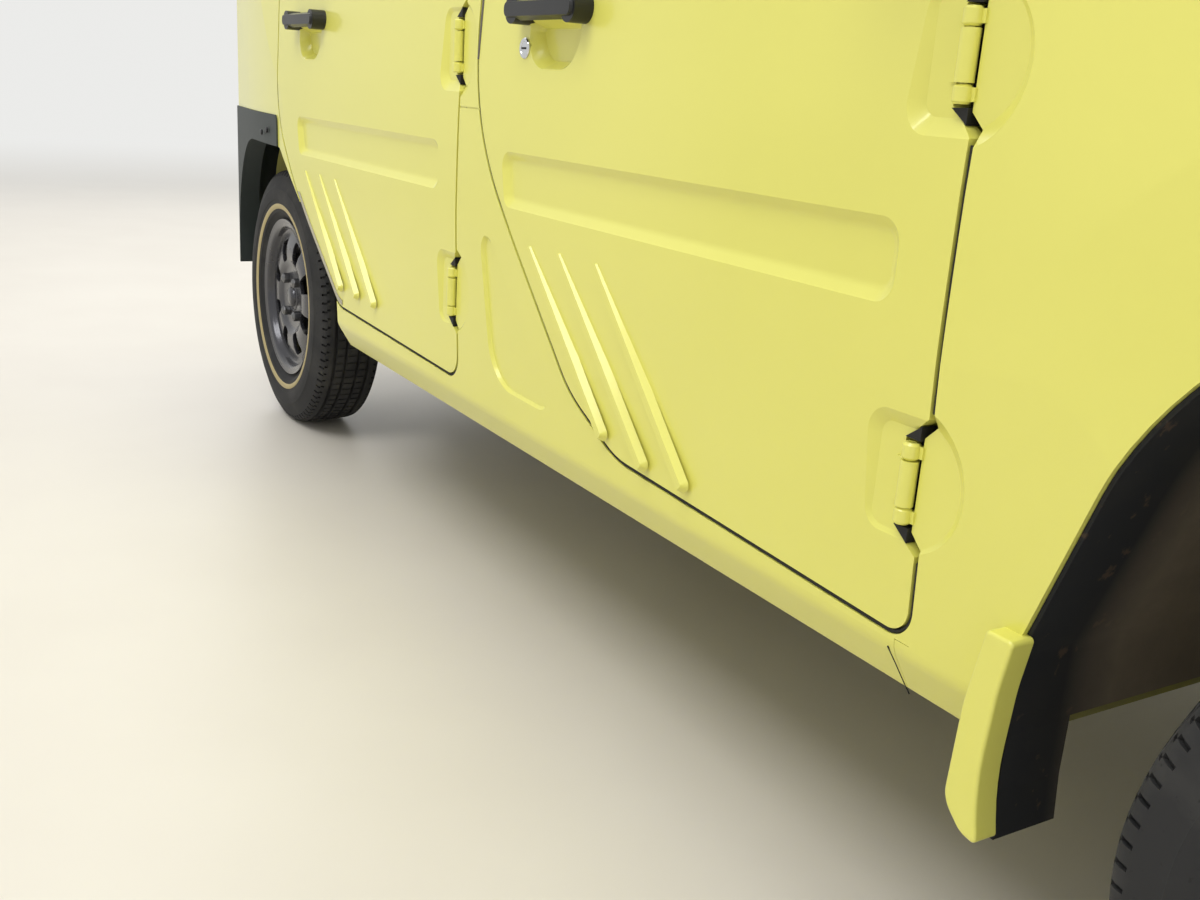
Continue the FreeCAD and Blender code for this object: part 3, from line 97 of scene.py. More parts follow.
def editAll(piece, *steps):
    # each step acts on the whole mesh in edit mode
    only(piece)
    bpy.ops.object.mode_set(mode="EDIT")
    for step in steps:
        bpy.ops.mesh.select_all(action="SELECT")
        step()
    bpy.ops.object.mode_set(mode="OBJECT")
    return piece


def editFaces(piece, test, action):
    # picks faces by place or normal, then does the step in edit mode
    only(piece)
    bpy.ops.object.mode_set(mode="EDIT")
    bpy.ops.mesh.select_mode(type="FACE")
    bpy.ops.mesh.select_all(action="DESELECT")
    bpy.ops.object.mode_set(mode="OBJECT")
    for face in piece.data.polygons:
        face.select = test(face)
    bpy.ops.object.mode_set(mode="EDIT")
    action()
    bpy.ops.object.mode_set(mode="OBJECT")


def insetFaces(piece, way, *steps):
    # the faces that look one way go in step by step, each by a width and a depth
    editFaces(piece, lambda face: face.normal.dot(Vector(way)) > 0.9, lambda: [
        bpy.ops.mesh.inset(thickness=width / 1000, depth=depth / 1000) for width, depth in steps])
    return piece


def mergeDoubles():
    bpy.ops.mesh.remove_doubles(threshold=0.00005)


def turnFacesOut():
    bpy.ops.mesh.normals_make_consistent(inside=False)


def drawLine(name, points):
    # a line of edges, extruded from one vertex at a time
    deselectAll()
    bpy.ops.mesh.primitive_plane_add(size=0.001, location=Vector(points[0]) / 1000)
    piece = fresh(name)
    bpy.ops.object.mode_set(mode="EDIT")
    bpy.ops.mesh.select_mode(type="VERT")
    bpy.ops.mesh.select_all(action="SELECT")
    bpy.ops.mesh.merge(type="CENTER")
    for start, end in zip(points, points[1:]):
        step = (Vector(end) - Vector(start)) / 1000
        bpy.ops.mesh.extrude_region_move(TRANSFORM_OT_translate={"value": step})
    bpy.ops.object.mode_set(mode="OBJECT")
    return piece


def spinLine(name, outline, steps, axis="Y"):
    # an outline of radii and heights turned right round an axis
    way = [float(axis == letter) for letter in "XYZ"]
    put = {"X": lambda r, h: (h, 0, r), "Y": lambda r, h: (r, h, 0), "Z": lambda r, h: (r, 0, h)}[axis]
    spin = lambda: bpy.ops.mesh.spin(steps=steps, angle=2 * math.pi, center=(0, 0, 0), axis=way)
    return editAll(drawLine(name, [put(r, h) for r, h in outline]), spin, mergeDoubles, turnFacesOut)


def fillLine(name, points, push):
    # a closed outline, filled and given its thickness by a push
    line = drawLine(name, points + points[:1])
    editAll(line, mergeDoubles, bpy.ops.mesh.edge_face_add, lambda: bpy.ops.mesh.extrude_region_move(
        TRANSFORM_OT_translate={"value": Vector(push) / 1000}), turnFacesOut)
    return fresh(name)


def roundedLine(corners, steps=6):
    # the outline as points, each corner an arc
    points = []
    count = len(corners)
    for i, (u, v, r) in enumerate(corners):
        corner = Vector((u, v))
        before = (Vector(corners[i - 1][:2]) - corner).normalized()
        after = (Vector(corners[(i + 1) % count][:2]) - corner).normalized()
        half = before.angle(after) / 2
        if r <= 1 or half > math.pi / 2 - 0.01:
            points.append((u, v))
            continue
        middle = corner + (before + after).normalized() * (r / math.sin(half))
        first = corner + before * (r / math.tan(half)) - middle
        last = corner + after * (r / math.tan(half)) - middle
        sweep = first.angle_signed(last)
        for k in range(steps + 1):
            spoke = first.copy()
            spoke.rotate(Matrix.Rotation(-sweep * k / steps, 2))
            points.append((middle.x + spoke.x, middle.y + spoke.y))
    return points


def sheetBetween(name, corners, start, end, steps=4, axis="Y"):
    # a flat piece, its outline seen along an axis and its two faces at two places on that axis
    if axis == "Y":
        return fillLine(name, [(u, start, v) for u, v in roundedLine(corners, steps)], (0, end - start, 0))
    return fillLine(name, [(start, u, v) for u, v in roundedLine(corners, steps)], (end - start, 0, 0))


def useModifier(piece, kind, **settings):
    only(piece)
    modifier = piece.modifiers.new(kind.title(), kind)
    for key, value in settings.items():
        setattr(modifier, key, value)
    bpy.ops.object.modifier_apply(modifier=modifier.name)
    return piece


def softEdges(piece, width, segments=2, degrees=40):
    return useModifier(piece, "BEVEL", width=width / 1000, segments=segments, limit_method="ANGLE",
                       angle_limit=math.radians(degrees))


def smooth(piece, degrees):
    only(piece)
    bpy.ops.object.shade_smooth_by_angle(angle=math.radians(degrees))
    return piece


def shift(x, y, z):
    return Matrix.Translation((x / 1000, y / 1000, z / 1000))


def turned(degrees, axis):
    return Matrix.Rotation(math.radians(degrees), 4, axis)


def moved(piece, matrix):
    piece.data.transform(matrix)
    if matrix.determinant() < 0:
        piece.data.flip_normals()
    piece.data.update()
    return piece


def copied(piece, name, matrix):
    # another one of these, with its own mesh
    twin = piece.copy()
    twin.data = piece.data.copy()
    twin.name = name
    twin.data.name = name
    bpy.context.scene.collection.objects.link(twin)
    return moved(twin, matrix)


def joinPieces(name, pieces):
    deselectAll()
    for piece in pieces:
        piece.select_set(True)
    bpy.context.view_layer.objects.active = pieces[0]
    bpy.ops.object.join()
    return fresh(name)


def repeated(piece, name, matrices):
    # copies of one pattern as a single mesh
    copies = [copied(piece, piece.name + "Copy", matrix) for matrix in matrices]
    bpy.data.objects.remove(piece)
    return joinPieces(name, copies)


# dressing a piece and putting it on its body

def settle(piece, finishName, body, slot):
    piece.data.materials.clear()
    piece.data.materials.append(finish[finishName])
    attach(piece, body)
    return piece


def bothSides(piece, finishName, bodies, slot):
    # the right piece and its mirror image, each on its own body
    left = copied(piece, piece.name + "Left", toLeft)
    piece.name = piece.name + "Right"
    return [settle(one, finishName, body, slot) for one, body in zip((piece, left), bodies)]


def mount(piece, finishName, body, slot="dash_plastic", edge=0, segments=2, degrees=40):
    # edges rounded, faces shaded, and settled on one body or as a pair on two
    if edge:
        softEdges(piece, edge, segments)
    if degrees:
        smooth(piece, degrees)
    return (bothSides if isinstance(body, tuple) else settle)(piece, finishName, body, slot)


def mountBlock(name, low, high, way, insets, finishName, body, edge, segments=2):
    # a moulded block, stepped in on the face that looks one way
    mount(insetFaces(addBlock(name, low, high), way, *insets), finishName, body, edge=edge, segments=segments)


# materials

def toLinear(code):
    parts = [int(code[i:i + 2], 16) / 255 for i in (1, 3, 5)]
    return [c / 12.92 if c <= 0.04045 else ((c + 0.055) / 1.055) ** 2.4 for c in parts] + [1.0]


def feed(owner, node, values):
    # numbers and colour codes are set, and other nodes linked by their Fac or else their first output
    for key, value in values.items():
        if isinstance(value, bpy.types.Node):
            value = value.outputs.get("Fac") or value.outputs[0]
        if isinstance(value, bpy.types.NodeSocket):
            owner.node_tree.links.new(value, node.inputs[key])
        elif isinstance(key, str) and key not in node.inputs:
            setattr(node, key, value)
        else:
            node.inputs[key].default_value = toLinear(value) if isinstance(value, str) else value
    return node


def addNode(owner, kind, values):
    return feed(owner, owner.node_tree.nodes.new("ShaderNode" + kind), values)


def startMaterial(name, colour, sockets):
    # a new material with its shader, and where its patterns are: in the object's own coordinates
    material = bpy.data.materials.new(name)
    material.use_nodes = True
    material.diffuse_color = toLinear(colour)
    shader = material.node_tree.nodes["Principled BSDF"]
    feed(material, shader, {"Base Color": colour})
    feed(material, shader, sockets)
    return material, shader, addNode(material, "TexCoord", {}).outputs["Object"]


def perMm(size):
    # a pattern's scale from its real size in millimetres
    return 1000.0 / size


def paintLime():
    # solid urethane enamel under clear lacquer: even colour, sharp gloss, a faint orange peel
    look = {"deep": "#DDDA62", "pale": "#E7E372", "cloudMm": 420, "peelMm": 5, "peelDepth": 0.00012}
    material, shader, place = startMaterial("limeEnamel", look["pale"], {
        "Roughness": 0.34, "Coat Weight": 0.5, "Coat Roughness": 0.1, "IOR": 1.5})
    cloud = addNode(material, "TexNoise", {"Scale": perMm(look["cloudMm"]), "Detail": 2.0, "Vector": place})
    peel = addNode(material, "TexNoise", {"Scale": perMm(look["peelMm"]), "Detail": 1.0, "Vector": place})
    feed(material, shader, {
        "Base Color": addNode(material, "MixRGB", {"Color1": look["deep"], "Color2": look["pale"], "Fac": cloud}),
        "Roughness": addNode(material, "MapRange", {"To Min": 0.28, "To Max": 0.4, "Value": cloud}),
        "Normal": addNode(material, "Bump", {"Strength": 0.12, "Distance": look["peelDepth"], "Height": peel})})
    return material


def grained(name, dark, light, roughness, grainMm, depth, sockets={}):
    # moulded plastic or painted metal: a fine leather grain and a slow change of tone
    material, shader, place = startMaterial(name, light, dict(sockets, Roughness=roughness))
    cloud = addNode(material, "TexNoise", {"Scale": perMm(90), "Detail": 4.0, "Vector": place})
    grain = addNode(material, "TexVoronoi", {"Scale": perMm(grainMm), "Vector": place})
    feed(material, shader, {
        "Base Color": addNode(material, "MixRGB", {"Color1": dark, "Color2": light, "Fac": cloud}),
        "Roughness": addNode(material, "MapRange", {
            "To Min": roughness - 0.06, "To Max": roughness + 0.08, "Value": cloud}),
        "Normal": addNode(material, "Bump", {"Strength": 0.35, "Distance": depth, "Height": grain})})
    return material


def glassLike(name, colour, roughness, ripplesMm):
    # float or moulded glass: clear, with a very slight ripple
    material, shader, place = startMaterial(name, colour, {
        "Roughness": roughness, "Transmission Weight": 1.0, "IOR": 1.46})
    ripple = addNode(material, "TexNoise", {"Scale": perMm(ripplesMm), "Detail": 1.0, "Vector": place})
    feed(material, shader, {
        "Normal": addNode(material, "Bump", {"Strength": 0.05, "Distance": 0.0002, "Height": ripple})})
    return material


def dirty(name, clean, soil, spots, roughness, soilMm, spotMm, sockets={}):
    # a surface under the car: its own colour, road dust in soft clouds, and small darker or rusty spots
    material, shader, place = startMaterial(name, clean, dict(sockets, Roughness=roughness))
    dust = addNode(material, "TexNoise", {"Scale": perMm(soilMm), "Detail": 6.0, "Vector": place})
    amount = addNode(material, "MapRange", {"From Min": 0.45, "From Max": 0.72, "To Max": 0.8, "Value": dust})
    soiled = addNode(material, "MixRGB", {"Color1": clean, "Color2": soil, "Fac": amount})
    fleck = addNode(material, "TexNoise", {
        "Scale": perMm(spotMm), "Detail": 5.0, "Roughness": 0.6, "Vector": place})
    spotted = addNode(material, "MapRange", {"From Min": 0.62, "From Max": 0.68, "Value": fleck})
    feed(material, shader, {
        "Base Color": addNode(material, "MixRGB", {"Color2": spots, "Fac": spotted, "Color1": soiled}),
        "Normal": addNode(material, "Bump", {"Strength": 0.4, "Distance": 0.0006, "Height": dust})})
    return material


def wovenCloth(name, warp, weft, threadMm):
    # flat woven cloth: two thread colours crossing, soft sheen, a mottled yarn
    material, shader, place = startMaterial(name, warp, {"Roughness": 0.92, "Sheen Weight": 0.3})
    along, across = (addNode(material, "TexWave", {
        "Scale": perMm(threadMm) / 20, "bands_direction": way, "Distortion": 0.4, "Vector": place})
        for way in ("DIAGONAL", "Y"))
    yarn = addNode(material, "TexNoise", {"Scale": perMm(threadMm * 3), "Detail": 4.0, "Vector": place})
    cross = addNode(material, "Math", {"operation": "MULTIPLY", 0: along, 1: across})
    mixed = addNode(material, "Math", {"operation": "ADD", 0: cross, 1: yarn})
    amount = addNode(material, "MapRange", {"From Min": 0.3, "From Max": 1.2, "Value": mixed})
    feed(material, shader, {
        "Base Color": addNode(material, "MixRGB", {"Color1": warp, "Color2": weft, "Fac": amount}),
        "Normal": addNode(material, "Bump", {"Strength": 0.5, "Distance": 0.0005, "Height": mixed})})
    return material


def finned(name, dark, light, pitchMm):
    # folded aluminium fins as fine dark and light lines painted in the colour: painted shade between the fins and
    # painted light on their edges
    material, shader, place = startMaterial(name, dark, {"Roughness": 0.55, "Metallic": 0.6})
    lines = addNode(material, "TexWave", {"Scale": perMm(pitchMm) / 20, "bands_direction": "Y", "Vector": place})
    feed(material, shader, {
        "Base Color": addNode(material, "MixRGB", {"Color1": dark, "Color2": light, "Fac": lines}),
        "Normal": addNode(material, "Bump", {"Strength": 0.6, "Distance": 0.001, "Height": lines})})
    return material


def prismLens(name, colour, deep, clarity, prismMm):
    # moulded acrylic, coloured all through: a smooth face over a grid of small prisms that breaks the light up, and a
    # colour that darkens towards each prism's rim, painted shade between the prisms
    material, shader, place = startMaterial(name, colour, {
        "Roughness": 0.1, "Transmission Weight": clarity, "IOR": 1.49})
    prism = addNode(material, "TexVoronoi", {"Scale": perMm(prismMm), "Randomness": 0.0, "Vector": place})
    # painted shade: the darker colour grows towards each prism's rim
    prismToneWithPaintedShade = addNode(material, "MixRGB", {"Color1": colour, "Color2": deep, "Fac": prism})
    feed(material, shader, {
        "Base Color": prismToneWithPaintedShade,
        "Normal": addNode(material, "Bump", {"Strength": 0.35, "Distance": 0.0012, "Height": prism})})
    return material, shader, place, prismToneWithPaintedShade


def tailLens():
    # one moulding in three colours: clear below, amber, and red above
    look = {"low": 0.70, "high": 1.01, "bands": [(0.0, "#C4C8C8"), (0.27, "#D9731A"), (0.52, "#A80F18")]}
    # the grey is the painted shade between the prisms
    material, shader, place, prismToneWithPaintedShade = prismLens("tailLampAcrylic", "#FFFFFF", "#B0B0B0", 0.25, 6)
    height = addNode(material, "SeparateXYZ", {"Vector": place}).outputs["Z"]
    share = addNode(material, "MapRange", {"From Min": look["low"], "From Max": look["high"], "Value": height})
    bands = addNode(material, "ValToRGB", {"Fac": share})
    bands.color_ramp.interpolation = "CONSTANT"
    bands.color_ramp.elements.new(0.5)
    for element, (spot, code) in zip(bands.color_ramp.elements, look["bands"]):
        element.position = spot
        element.color = toLinear(code)
    # the three bands are multiplied by the prisms' colour with its painted shade
    feed(material, shader, {"Base Color": addNode(material, "MixRGB", {
        "blend_type": "MULTIPLY", "Fac": 1.0, "Color1": bands, "Color2": prismToneWithPaintedShade})})
    return material


def flutedGlass():
    # pressed lamp glass: clear, with upright flutes that spread the beam
    material, shader, place = startMaterial("flutedLampGlass", "#F4F6F6", {
        "Roughness": 0.02, "Transmission Weight": 1.0, "IOR": 1.5})
    flutes = addNode(material, "TexWave", {
        "Scale": perMm(9) / 20, "bands_direction": "Y", "wave_profile": "SIN", "Vector": place})
    feed(material, shader, {
        "Normal": addNode(material, "Bump", {"Strength": 0.5, "Distance": 0.0009, "Height": flutes})})
    return material


def archLiner():
    # moulded liner: black near its rim, and deeper in caked with pale road dust
    look = {"blackFrom": 0.665, "dustFrom": 0.605, "dust": "#8A7E6B", "darkDust": "#5E5446"}
    material = dirty("dirtyArchLiner", "#15171B", "#262421", "#43362B", 0.82, 110, 18)
    shader = material.node_tree.nodes["Principled BSDF"]
    black = shader.inputs["Base Color"].links[0].from_socket
    place = addNode(material, "TexCoord", {}).outputs["Object"]
    split = addNode(material, "SeparateXYZ", {"Vector": place})
    away = addNode(material, "Math", {"operation": "ABSOLUTE", 0: split.outputs["Y"]})
    depth = addNode(material, "MapRange", {
        "From Min": look["blackFrom"], "From Max": look["dustFrom"], "Value": away})
    cake = addNode(material, "TexNoise", {"Scale": perMm(120), "Detail": 8.0, "Roughness": 0.7, "Vector": place})
    dust = addNode(material, "MixRGB", {"Color1": look["darkDust"], "Color2": look["dust"], "Fac": cake})
    feed(material, shader, {
        "Base Color": addNode(material, "MixRGB", {"Fac": depth, "Color1": black, "Color2": dust})})
    return material


finish = {
    "paint": paintLime(),
    "cladding": grained("grainedPolypropylene", "#272E2D", "#333B39", 0.56, 1.6, 0.0003),
    "blackSatin": grained("satinBlackAbs", "#101113", "#191A1C", 0.36, 1.2, 0.0001),
    "glass": glassLike("floatGlass", "#E4EFE9", 0.0, 180),
    "lens": flutedGlass(),
    "redLens": tailLens(),
    # amber acrylic; the darker amber is painted shade between its prisms
    "amberLens": prismLens("amberAcrylic", "#F08A1C", "#B85A0C", 0.3, 6)[0],
    "wheel": grained("gunmetalWheelPaint", "#3C3C40", "#4C4C50", 0.26, 2.2, 0.0001,
                     {"Metallic": 0.65, "Coat Weight": 0.4}),
    # vulcanised rubber: near black, matt, with dust held in its pores
    "tyre": dirty("tyreRubber", "#202021", "#3A3937", "#151515", 0.78, 60, 7),
    "goldLine": grained("goldSidewallPaint", "#A8986A", "#BBAC7C", 0.55, 3.0, 0.0001),
    "chassis": dirty("blackChassisPaint", "#1B1C1D", "#3B3935", "#4A2F1E", 0.6, 130, 26),
    "underbody": dirty("undersealedBodyPaint", "#A9A552", "#7B7763", "#57543F", 0.7, 160, 30),
    "iron": dirty("castIron", "#4A4A4A", "#5E5B55", "#4B3325", 0.65, 60, 12, {"Metallic": 0.7}),
    "exhaust": dirty("aluminisedSteel", "#7E7A74", "#635B50", "#5B3A22", 0.5, 90, 20, {"Metallic": 0.8}),
    "fins": finned("radiatorFins", "#16171A", "#3A3C40", 2.4),
    "cloth": wovenCloth("wovenSeatCloth", "#55585C", "#3C3F44", 2.0),
    "clothDark": wovenCloth("wovenBolsterCloth", "#34363A", "#26282B", 2.0),
    "dash": grained("grainedDashPlastic", "#2E3033", "#3A3C3F", 0.62, 2.0, 0.0003),
    "liner": archLiner(),
    "rubber": grained("sealRubber", "#121212", "#1B1B1B", 0.7, 1.5, 0.0002),
    "chrome": grained("brightSteel", "#C9CBCE", "#D9DBDD", 0.16, 6.0, 0.00004, {"Metallic": 1.0}),
    "mirror": grained("silveredMirror", "#E4E6E8", "#EDEFF0", 0.08, 60.0, 0.00001, {"Metallic": 1.0}),
    "strip": grained("greyEdgeTrim", "#A9A48F", "#B9B49E", 0.5, 3.0, 0.0001),
    "stripDark": grained("brownEdgeTrim", "#5B564C", "#6B665A", 0.5, 3.0, 0.0001),
    "darkNut": grained("blackenedSteel", "#6A6A6B", "#7C7C7D", 0.28, 3.0, 0.0001, {"Metallic": 0.95}),
    "needle": grained("orangeNeedlePaint", "#C9571B", "#D9652A", 0.5, 2.0, 0.00002),
    "plate": grained("pressedPlateEnamel", "#DAD8CC", "#E6E4DA", 0.35, 8.0, 0.00005),
    "carpet": wovenCloth("loopCarpet", "#26272A", "#191A1C", 4.0),
    "headliner": wovenCloth("headliner", "#C9C6BC", "#B9B5AA", 1.6),
}
nodeFinish = {
    "body_paint": "paint", "dark_plastic": "cladding", "black_plastic": "blackSatin", "window_glass": "glass",
    "lamp_glass": "lens", "red_lens": "redLens", "wheel_paint": "wheel", "tyre_rubber": "tyre",
    "chassis_black": "chassis", "underbody_paint": "underbody", "cast_metal": "iron", "exhaust_steel": "exhaust",
    "radiator_core": "fins", "seat_cloth": "cloth", "dash_plastic": "dash", "liner_plastic": "liner",
}
for part in frame["record"]["subparts"]:
    frame["nodes"][part["node"]].data.materials.clear()
    frame["nodes"][part["node"]].data.materials.append(finish[nodeFinish[part["material_slot"]]])
print("materials ready")


# wheels: tyres with their tread, sidewall line, nuts and caps; outlines are radii and distances along the axle

def wheelPlace(end, side):
    # from a wheel's own frame, drawn as a right wheel with its face towards -y, to its place on the car
    x = car[end + "AxleX"]
    z = car["axleZ"] + (car["settle"] if end == "front" else 0)
    place = shift(x, side * car["trackHalf"], z) @ (toLeft if side > 0 else Matrix.Identity(4))
    if end == "rear":
        return place
    foot = shift(x, side * car["kingpinY"], z)
    lean = math.radians(car["leanDegrees"])
    return foot @ turned(car["steeredDegrees"], Vector((0, -side * math.sin(lean), math.cos(lean)))) @ \
        foot.inverted() @ place


def makeTyre():
    look = {"pitches": 96, "partsPerPitch": 4, "slitDepth": 4.2, "ribSlitDepth": 2}
    # distance from the tyre's middle plane, then radius
    half = [(0, 267), (9.5, 267), (11, 259.5), (15, 259.5), (16.5, 266.9), (31, 266.5), (32.5, 259), (37.5, 259),
            (39, 266), (48, 265.2), (54, 263.4), (58, 260), (61.5, 254), (64.5, 245), (68, 236), (70.2, 229),
            (70.9, 228.2), (72, 220), (72.2, 212), (71.2, 205), (70.3, 204.3), (69.5, 198), (68.2, 190), (66.8, 184),
            (65.4, 179.5), (63.2, 178.2), (59.5, 174), (55.5, 170), (54, 164.8), (49, 157.5), (30, 154.2)]
    line = [(r, -y) for y, r in reversed(half)] + [(r, y) for y, r in half[1:]]
    steps = look["pitches"] * look["partsPerPitch"]
    tyre = spinLine("tyre", line + line[:1], steps)

    def spot(face):
        # which part of its pitch a face is in, how far out it is, and its radius
        turn = math.atan2(face.center.z, face.center.x) % (2 * math.pi)
        return int(turn * steps / (2 * math.pi)), abs(face.center.y) * 1000, 1000 * math.hypot(
            face.center.x, face.center.z)

    def shoulder(face):
        # the slits lean across the shoulder, as they do on the real one
        part, out, radius = spot(face)
        return 50 < out < 61 and radius > 248.5 and (part + (out > 54)) % look["partsPerPitch"] == 0

    def rib(face):
        part, out, radius = spot(face)
        return radius > 264 and (1 < out < 9 or 17 < out < 31) and part % look["partsPerPitch"] == 2

    for test, depth in ((shoulder, look["slitDepth"]), (rib, look["ribSlitDepth"])):
        editFaces(tyre, test, lambda: bpy.ops.mesh.extrude_region_shrink_fatten(
            TRANSFORM_OT_shrink_fatten={"value": -depth / 1000}))
    return smooth(tyre, 30)


def makeWheel():
    # a pressed rim with rolled lips and a deep well, and a dished disc with eight windows between its spokes
    look = {"windows": 8, "inner": 78.5, "outer": 123.5, "innerHalf": 12.5, "outerHalf": 22.5, "corner": 7.5}
    discFront = [(28, 1), (30, -1), (64, -1), (70, -3), (79, -8.5), (90, -9.5), (108, -8), (122, -3.5),
                 (130, -0.5), (137, 1.5), (143.5, -1), (146.5, -8)]
    rim = [(147.8, -54.5), (151.5, -57.2), (158.5, -57.8), (162.5, -59.2), (164.5, -59.8), (165.6, -58.5),
           (165.2, -56.2), (161.5, -54.8), (155.5, -53.5), (152.5, -50), (151.5, -30), (149.5, -21), (138.5, -11),
           (136.5, -6), (136.5, 20), (138.5, 26), (150, 44), (152.5, 50), (155.5, 53.5), (161.5, 54.8),
           (165.2, 56.2), (165.6, 58.5), (164.5, 59.8), (162.5, 59.2), (158.5, 57.8), (150, 56.5), (147.5, 50),
           (134, 27), (132.5, 20)]
    discBack = [(132.5, 18), (130, 11), (120, 4), (108, -1), (90, -2.5), (80, -1), (70, 5), (62, 7.5), (49, 8.5)]
    front, back = ([(r, car["wheelFace"] + y) for r, y in part] for part in (discFront, discBack))
    wheel = spinLine("wheel", front + rim + back + [(47, -2.5), (28.5, -2.5)] + front[:1], 128)
    corner = look["corner"]
    corners = [(look["inner"], -look["innerHalf"], corner), (look["inner"], look["innerHalf"], corner),
               (look["outer"], look["outerHalf"], corner), (look["outer"], -look["outerHalf"], corner)]
    cutter = sheetBetween("windowCutter", corners, -70, 5, 5)
    pitch = 360 / look["windows"]
    cutters = repeated(cutter, "cutters", [turned(pitch * (i + 0.5), "Y") for i in range(look["windows"])])
    useModifier(wheel, "BOOLEAN", operation="DIFFERENCE", object=cutters, solver="EXACT")
    bpy.data.objects.remove(cutters)
    return smooth(softEdges(wheel, 1.4, 2, 50), 40)


def makeSidewallLine():
    # a raised ring round the tyre's outer side
    outline = [(196.2, -69.2), (195, -70.1), (187, -68.5), (185.8, -67.3), (190.5, -66), (196.2, -69.2)]
    return smooth(spinLine("sidewallLine", outline, 128), 50)


def makeNuts():
    look = {"count": 4, "circle": 50, "acrossCorners": 10.8, "height": 12.5, "first": -45}
    turns = [turned(look["first"] - 360 / look["count"] * i, "Y") for i in range(look["count"])]
    nut = addDrum("nut", (look["circle"], car["wheelFace"] - look["height"] / 2, 0), look["acrossCorners"],
                  look["height"], (0, -1, 0), 6)
    softEdges(insetFaces(nut, (0, -1, 0), (1.6, 1.2), (3, 2.2), (3, 0.6)), 0.6)
    return smooth(repeated(nut, "wheelNuts", turns), 30)


def makeHubCap():
    outline = [(0, -11.5), (12, -11.2), (18, -9.5), (20.5, -6.2), (21.5, -2.5), (26.2, -1.8), (27.5, -0.6),
               (27.5, 0.4), (24, 0.8), (12, 1), (0, 1)]
    return smooth(spinLine("hubCap", [(r, y + car["wheelFace"]) for r, y in outline], 48), 40)


def makeValve():
    # a short rubber valve with its cap, near the rim
    look = {"degrees": 22.5, "radius": 133, "proud": 5}
    outline = [(0, -12), (4.5, -11.5), (5, -8), (4.2, -7.5), (4.2, 4), (6.2, 8), (6.4, 16), (0, 16.5)]
    place = turned(look["degrees"], "Y") @ shift(look["radius"], car["wheelFace"] - look["proud"], 0)
    return smooth(moved(spinLine("valve", outline, 20), place), 35)


def makeWeight():
    # a clip-on lead weight on the rim's edge
    look = {"degrees": 16, "steps": 10}
    outline = [(157, -52.5), (153.5, -57.5), (148.5, -57.2), (149.5, -51.5), (157, -52.5)]
    weight = drawLine("rimWeight", [(r, y, 0) for r, y in outline])
    editAll(weight, mergeDoubles, bpy.ops.mesh.edge_face_add, lambda: bpy.ops.mesh.spin(
        steps=look["steps"], angle=math.radians(look["degrees"]), center=(0, 0, 0), axis=(0, 1, 0)), turnFacesOut)
    return smooth(softEdges(weight, 0.8), 40)


def dressWheels():
    patterns = [(makeTyre(), "tyre"), (makeWheel(), "wheel"), (makeSidewallLine(), "goldLine"),
                (makeNuts(), "darkNut"), (makeHubCap(), "wheel"), (makeValve(), "rubber"), (makeWeight(), "iron")]
    for end in ("front", "rear"):
        for label, side in (("right", -1), ("left", 1)):
            for pattern, finishName in patterns:
                twin = copied(pattern, pattern.name + end.title() + label.title(), wheelPlace(end, side))
                slot = "tyre_rubber" if finishName in ("tyre", "rubber", "goldLine") else "wheel_paint"
                settle(twin, finishName, "wheel_%s_%s" % (end, label), slot)
                if pattern.name in ("tyre", "wheel"):
                    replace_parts(twin, "%s_%s_%s" % (pattern.name, end, label))
    for pattern, finishName in patterns:
        bpy.data.objects.remove(pattern)


dressWheels()
print("wheels dressed")


# seals, window rubbers and edge trim, laid along outlines seen from the side

frontDoorLine = [(627.5, 322, 22), (627.5, 952, 30), (242.5, 1462, 60), (-209.5, 1462, 30), (-225.5, 770, 300),
                 (-191.5, 650, 300), (54.5, 390, 160), (164.5, 340, 120)]
rearDoorLine = [(-275.5, 330, 30), (-275.5, 940, 0), (-253.5, 1462, 30), (-1089.5, 1462, 90), (-1131.5, 880, 300),
                (-1119.5, 650, 160), (-1001.5, 505, 900), (-789.5, 342, 60)]
frontWindowLine = [(532.5, 968, 25), (224.5, 1420, 40), (-163.5, 1420, 30), (-177.5, 968, 30)]
rearWindowLine = [(-320.5, 968, 30), (-303.5, 1420, 30), (-1041.5, 1420, 60), (-1075.5, 968, 30)]
screenUp = Vector((-535, 0, 590)).normalized()
screenOut = Vector((screenUp.z, 0, -screenUp.x))


def skinHalf(z):
    # half the body's width at a height
    steps = [(266, 701.5), (306, 725.5), (560, 737.5), (700, 737.5), (940, 725), (1504, 590.5)]
    for (z0, y0), (z1, y1) in zip(steps, steps[1:]):
        if z <= z1:
            return y0 + (y1 - y0) * (z - z0) / (z1 - z0)
    return steps[-1][1]


def onSide(points, depth):
    # points seen from the side, put on the right side's skin or a depth inside it
    return [(x, depth - skinHalf(z), z) for x, z in points]


def onScreen(up, across, out):
    # a place on the windscreen's sloping plane: up the slope, across the car, and proud of it
    return Vector((757.5, across, 960)) + screenUp * up + screenOut * out


def onTail(height, across, out):
    return Vector((-1675.5 + max(0, height - 940) * 0.2 - out, across, height))


def shrunk(corners, amount):
    # the outline moved inwards by an amount
    count = len(corners)
    area = sum(corners[i - 1][0] * corners[i][1] - corners[i][0] * corners[i - 1][1] for i in range(count))
    turn = 1 if area > 0 else -1
    out = []
    for i, (u, v, r) in enumerate(corners):
        before = Vector((u - corners[i - 1][0], v - corners[i - 1][1])).normalized()
        after = Vector((corners[(i + 1) % count][0] - u, corners[(i + 1) % count][1] - v)).normalized()
        n0 = Vector((-before.y, before.x)) * turn
        n1 = Vector((-after.y, after.x)) * turn
        step = (n0 + n1) * (amount / (1 + n0.dot(n1)))
        out.append((u + step.x, v + step.y, max(0, r - amount)))
    return out


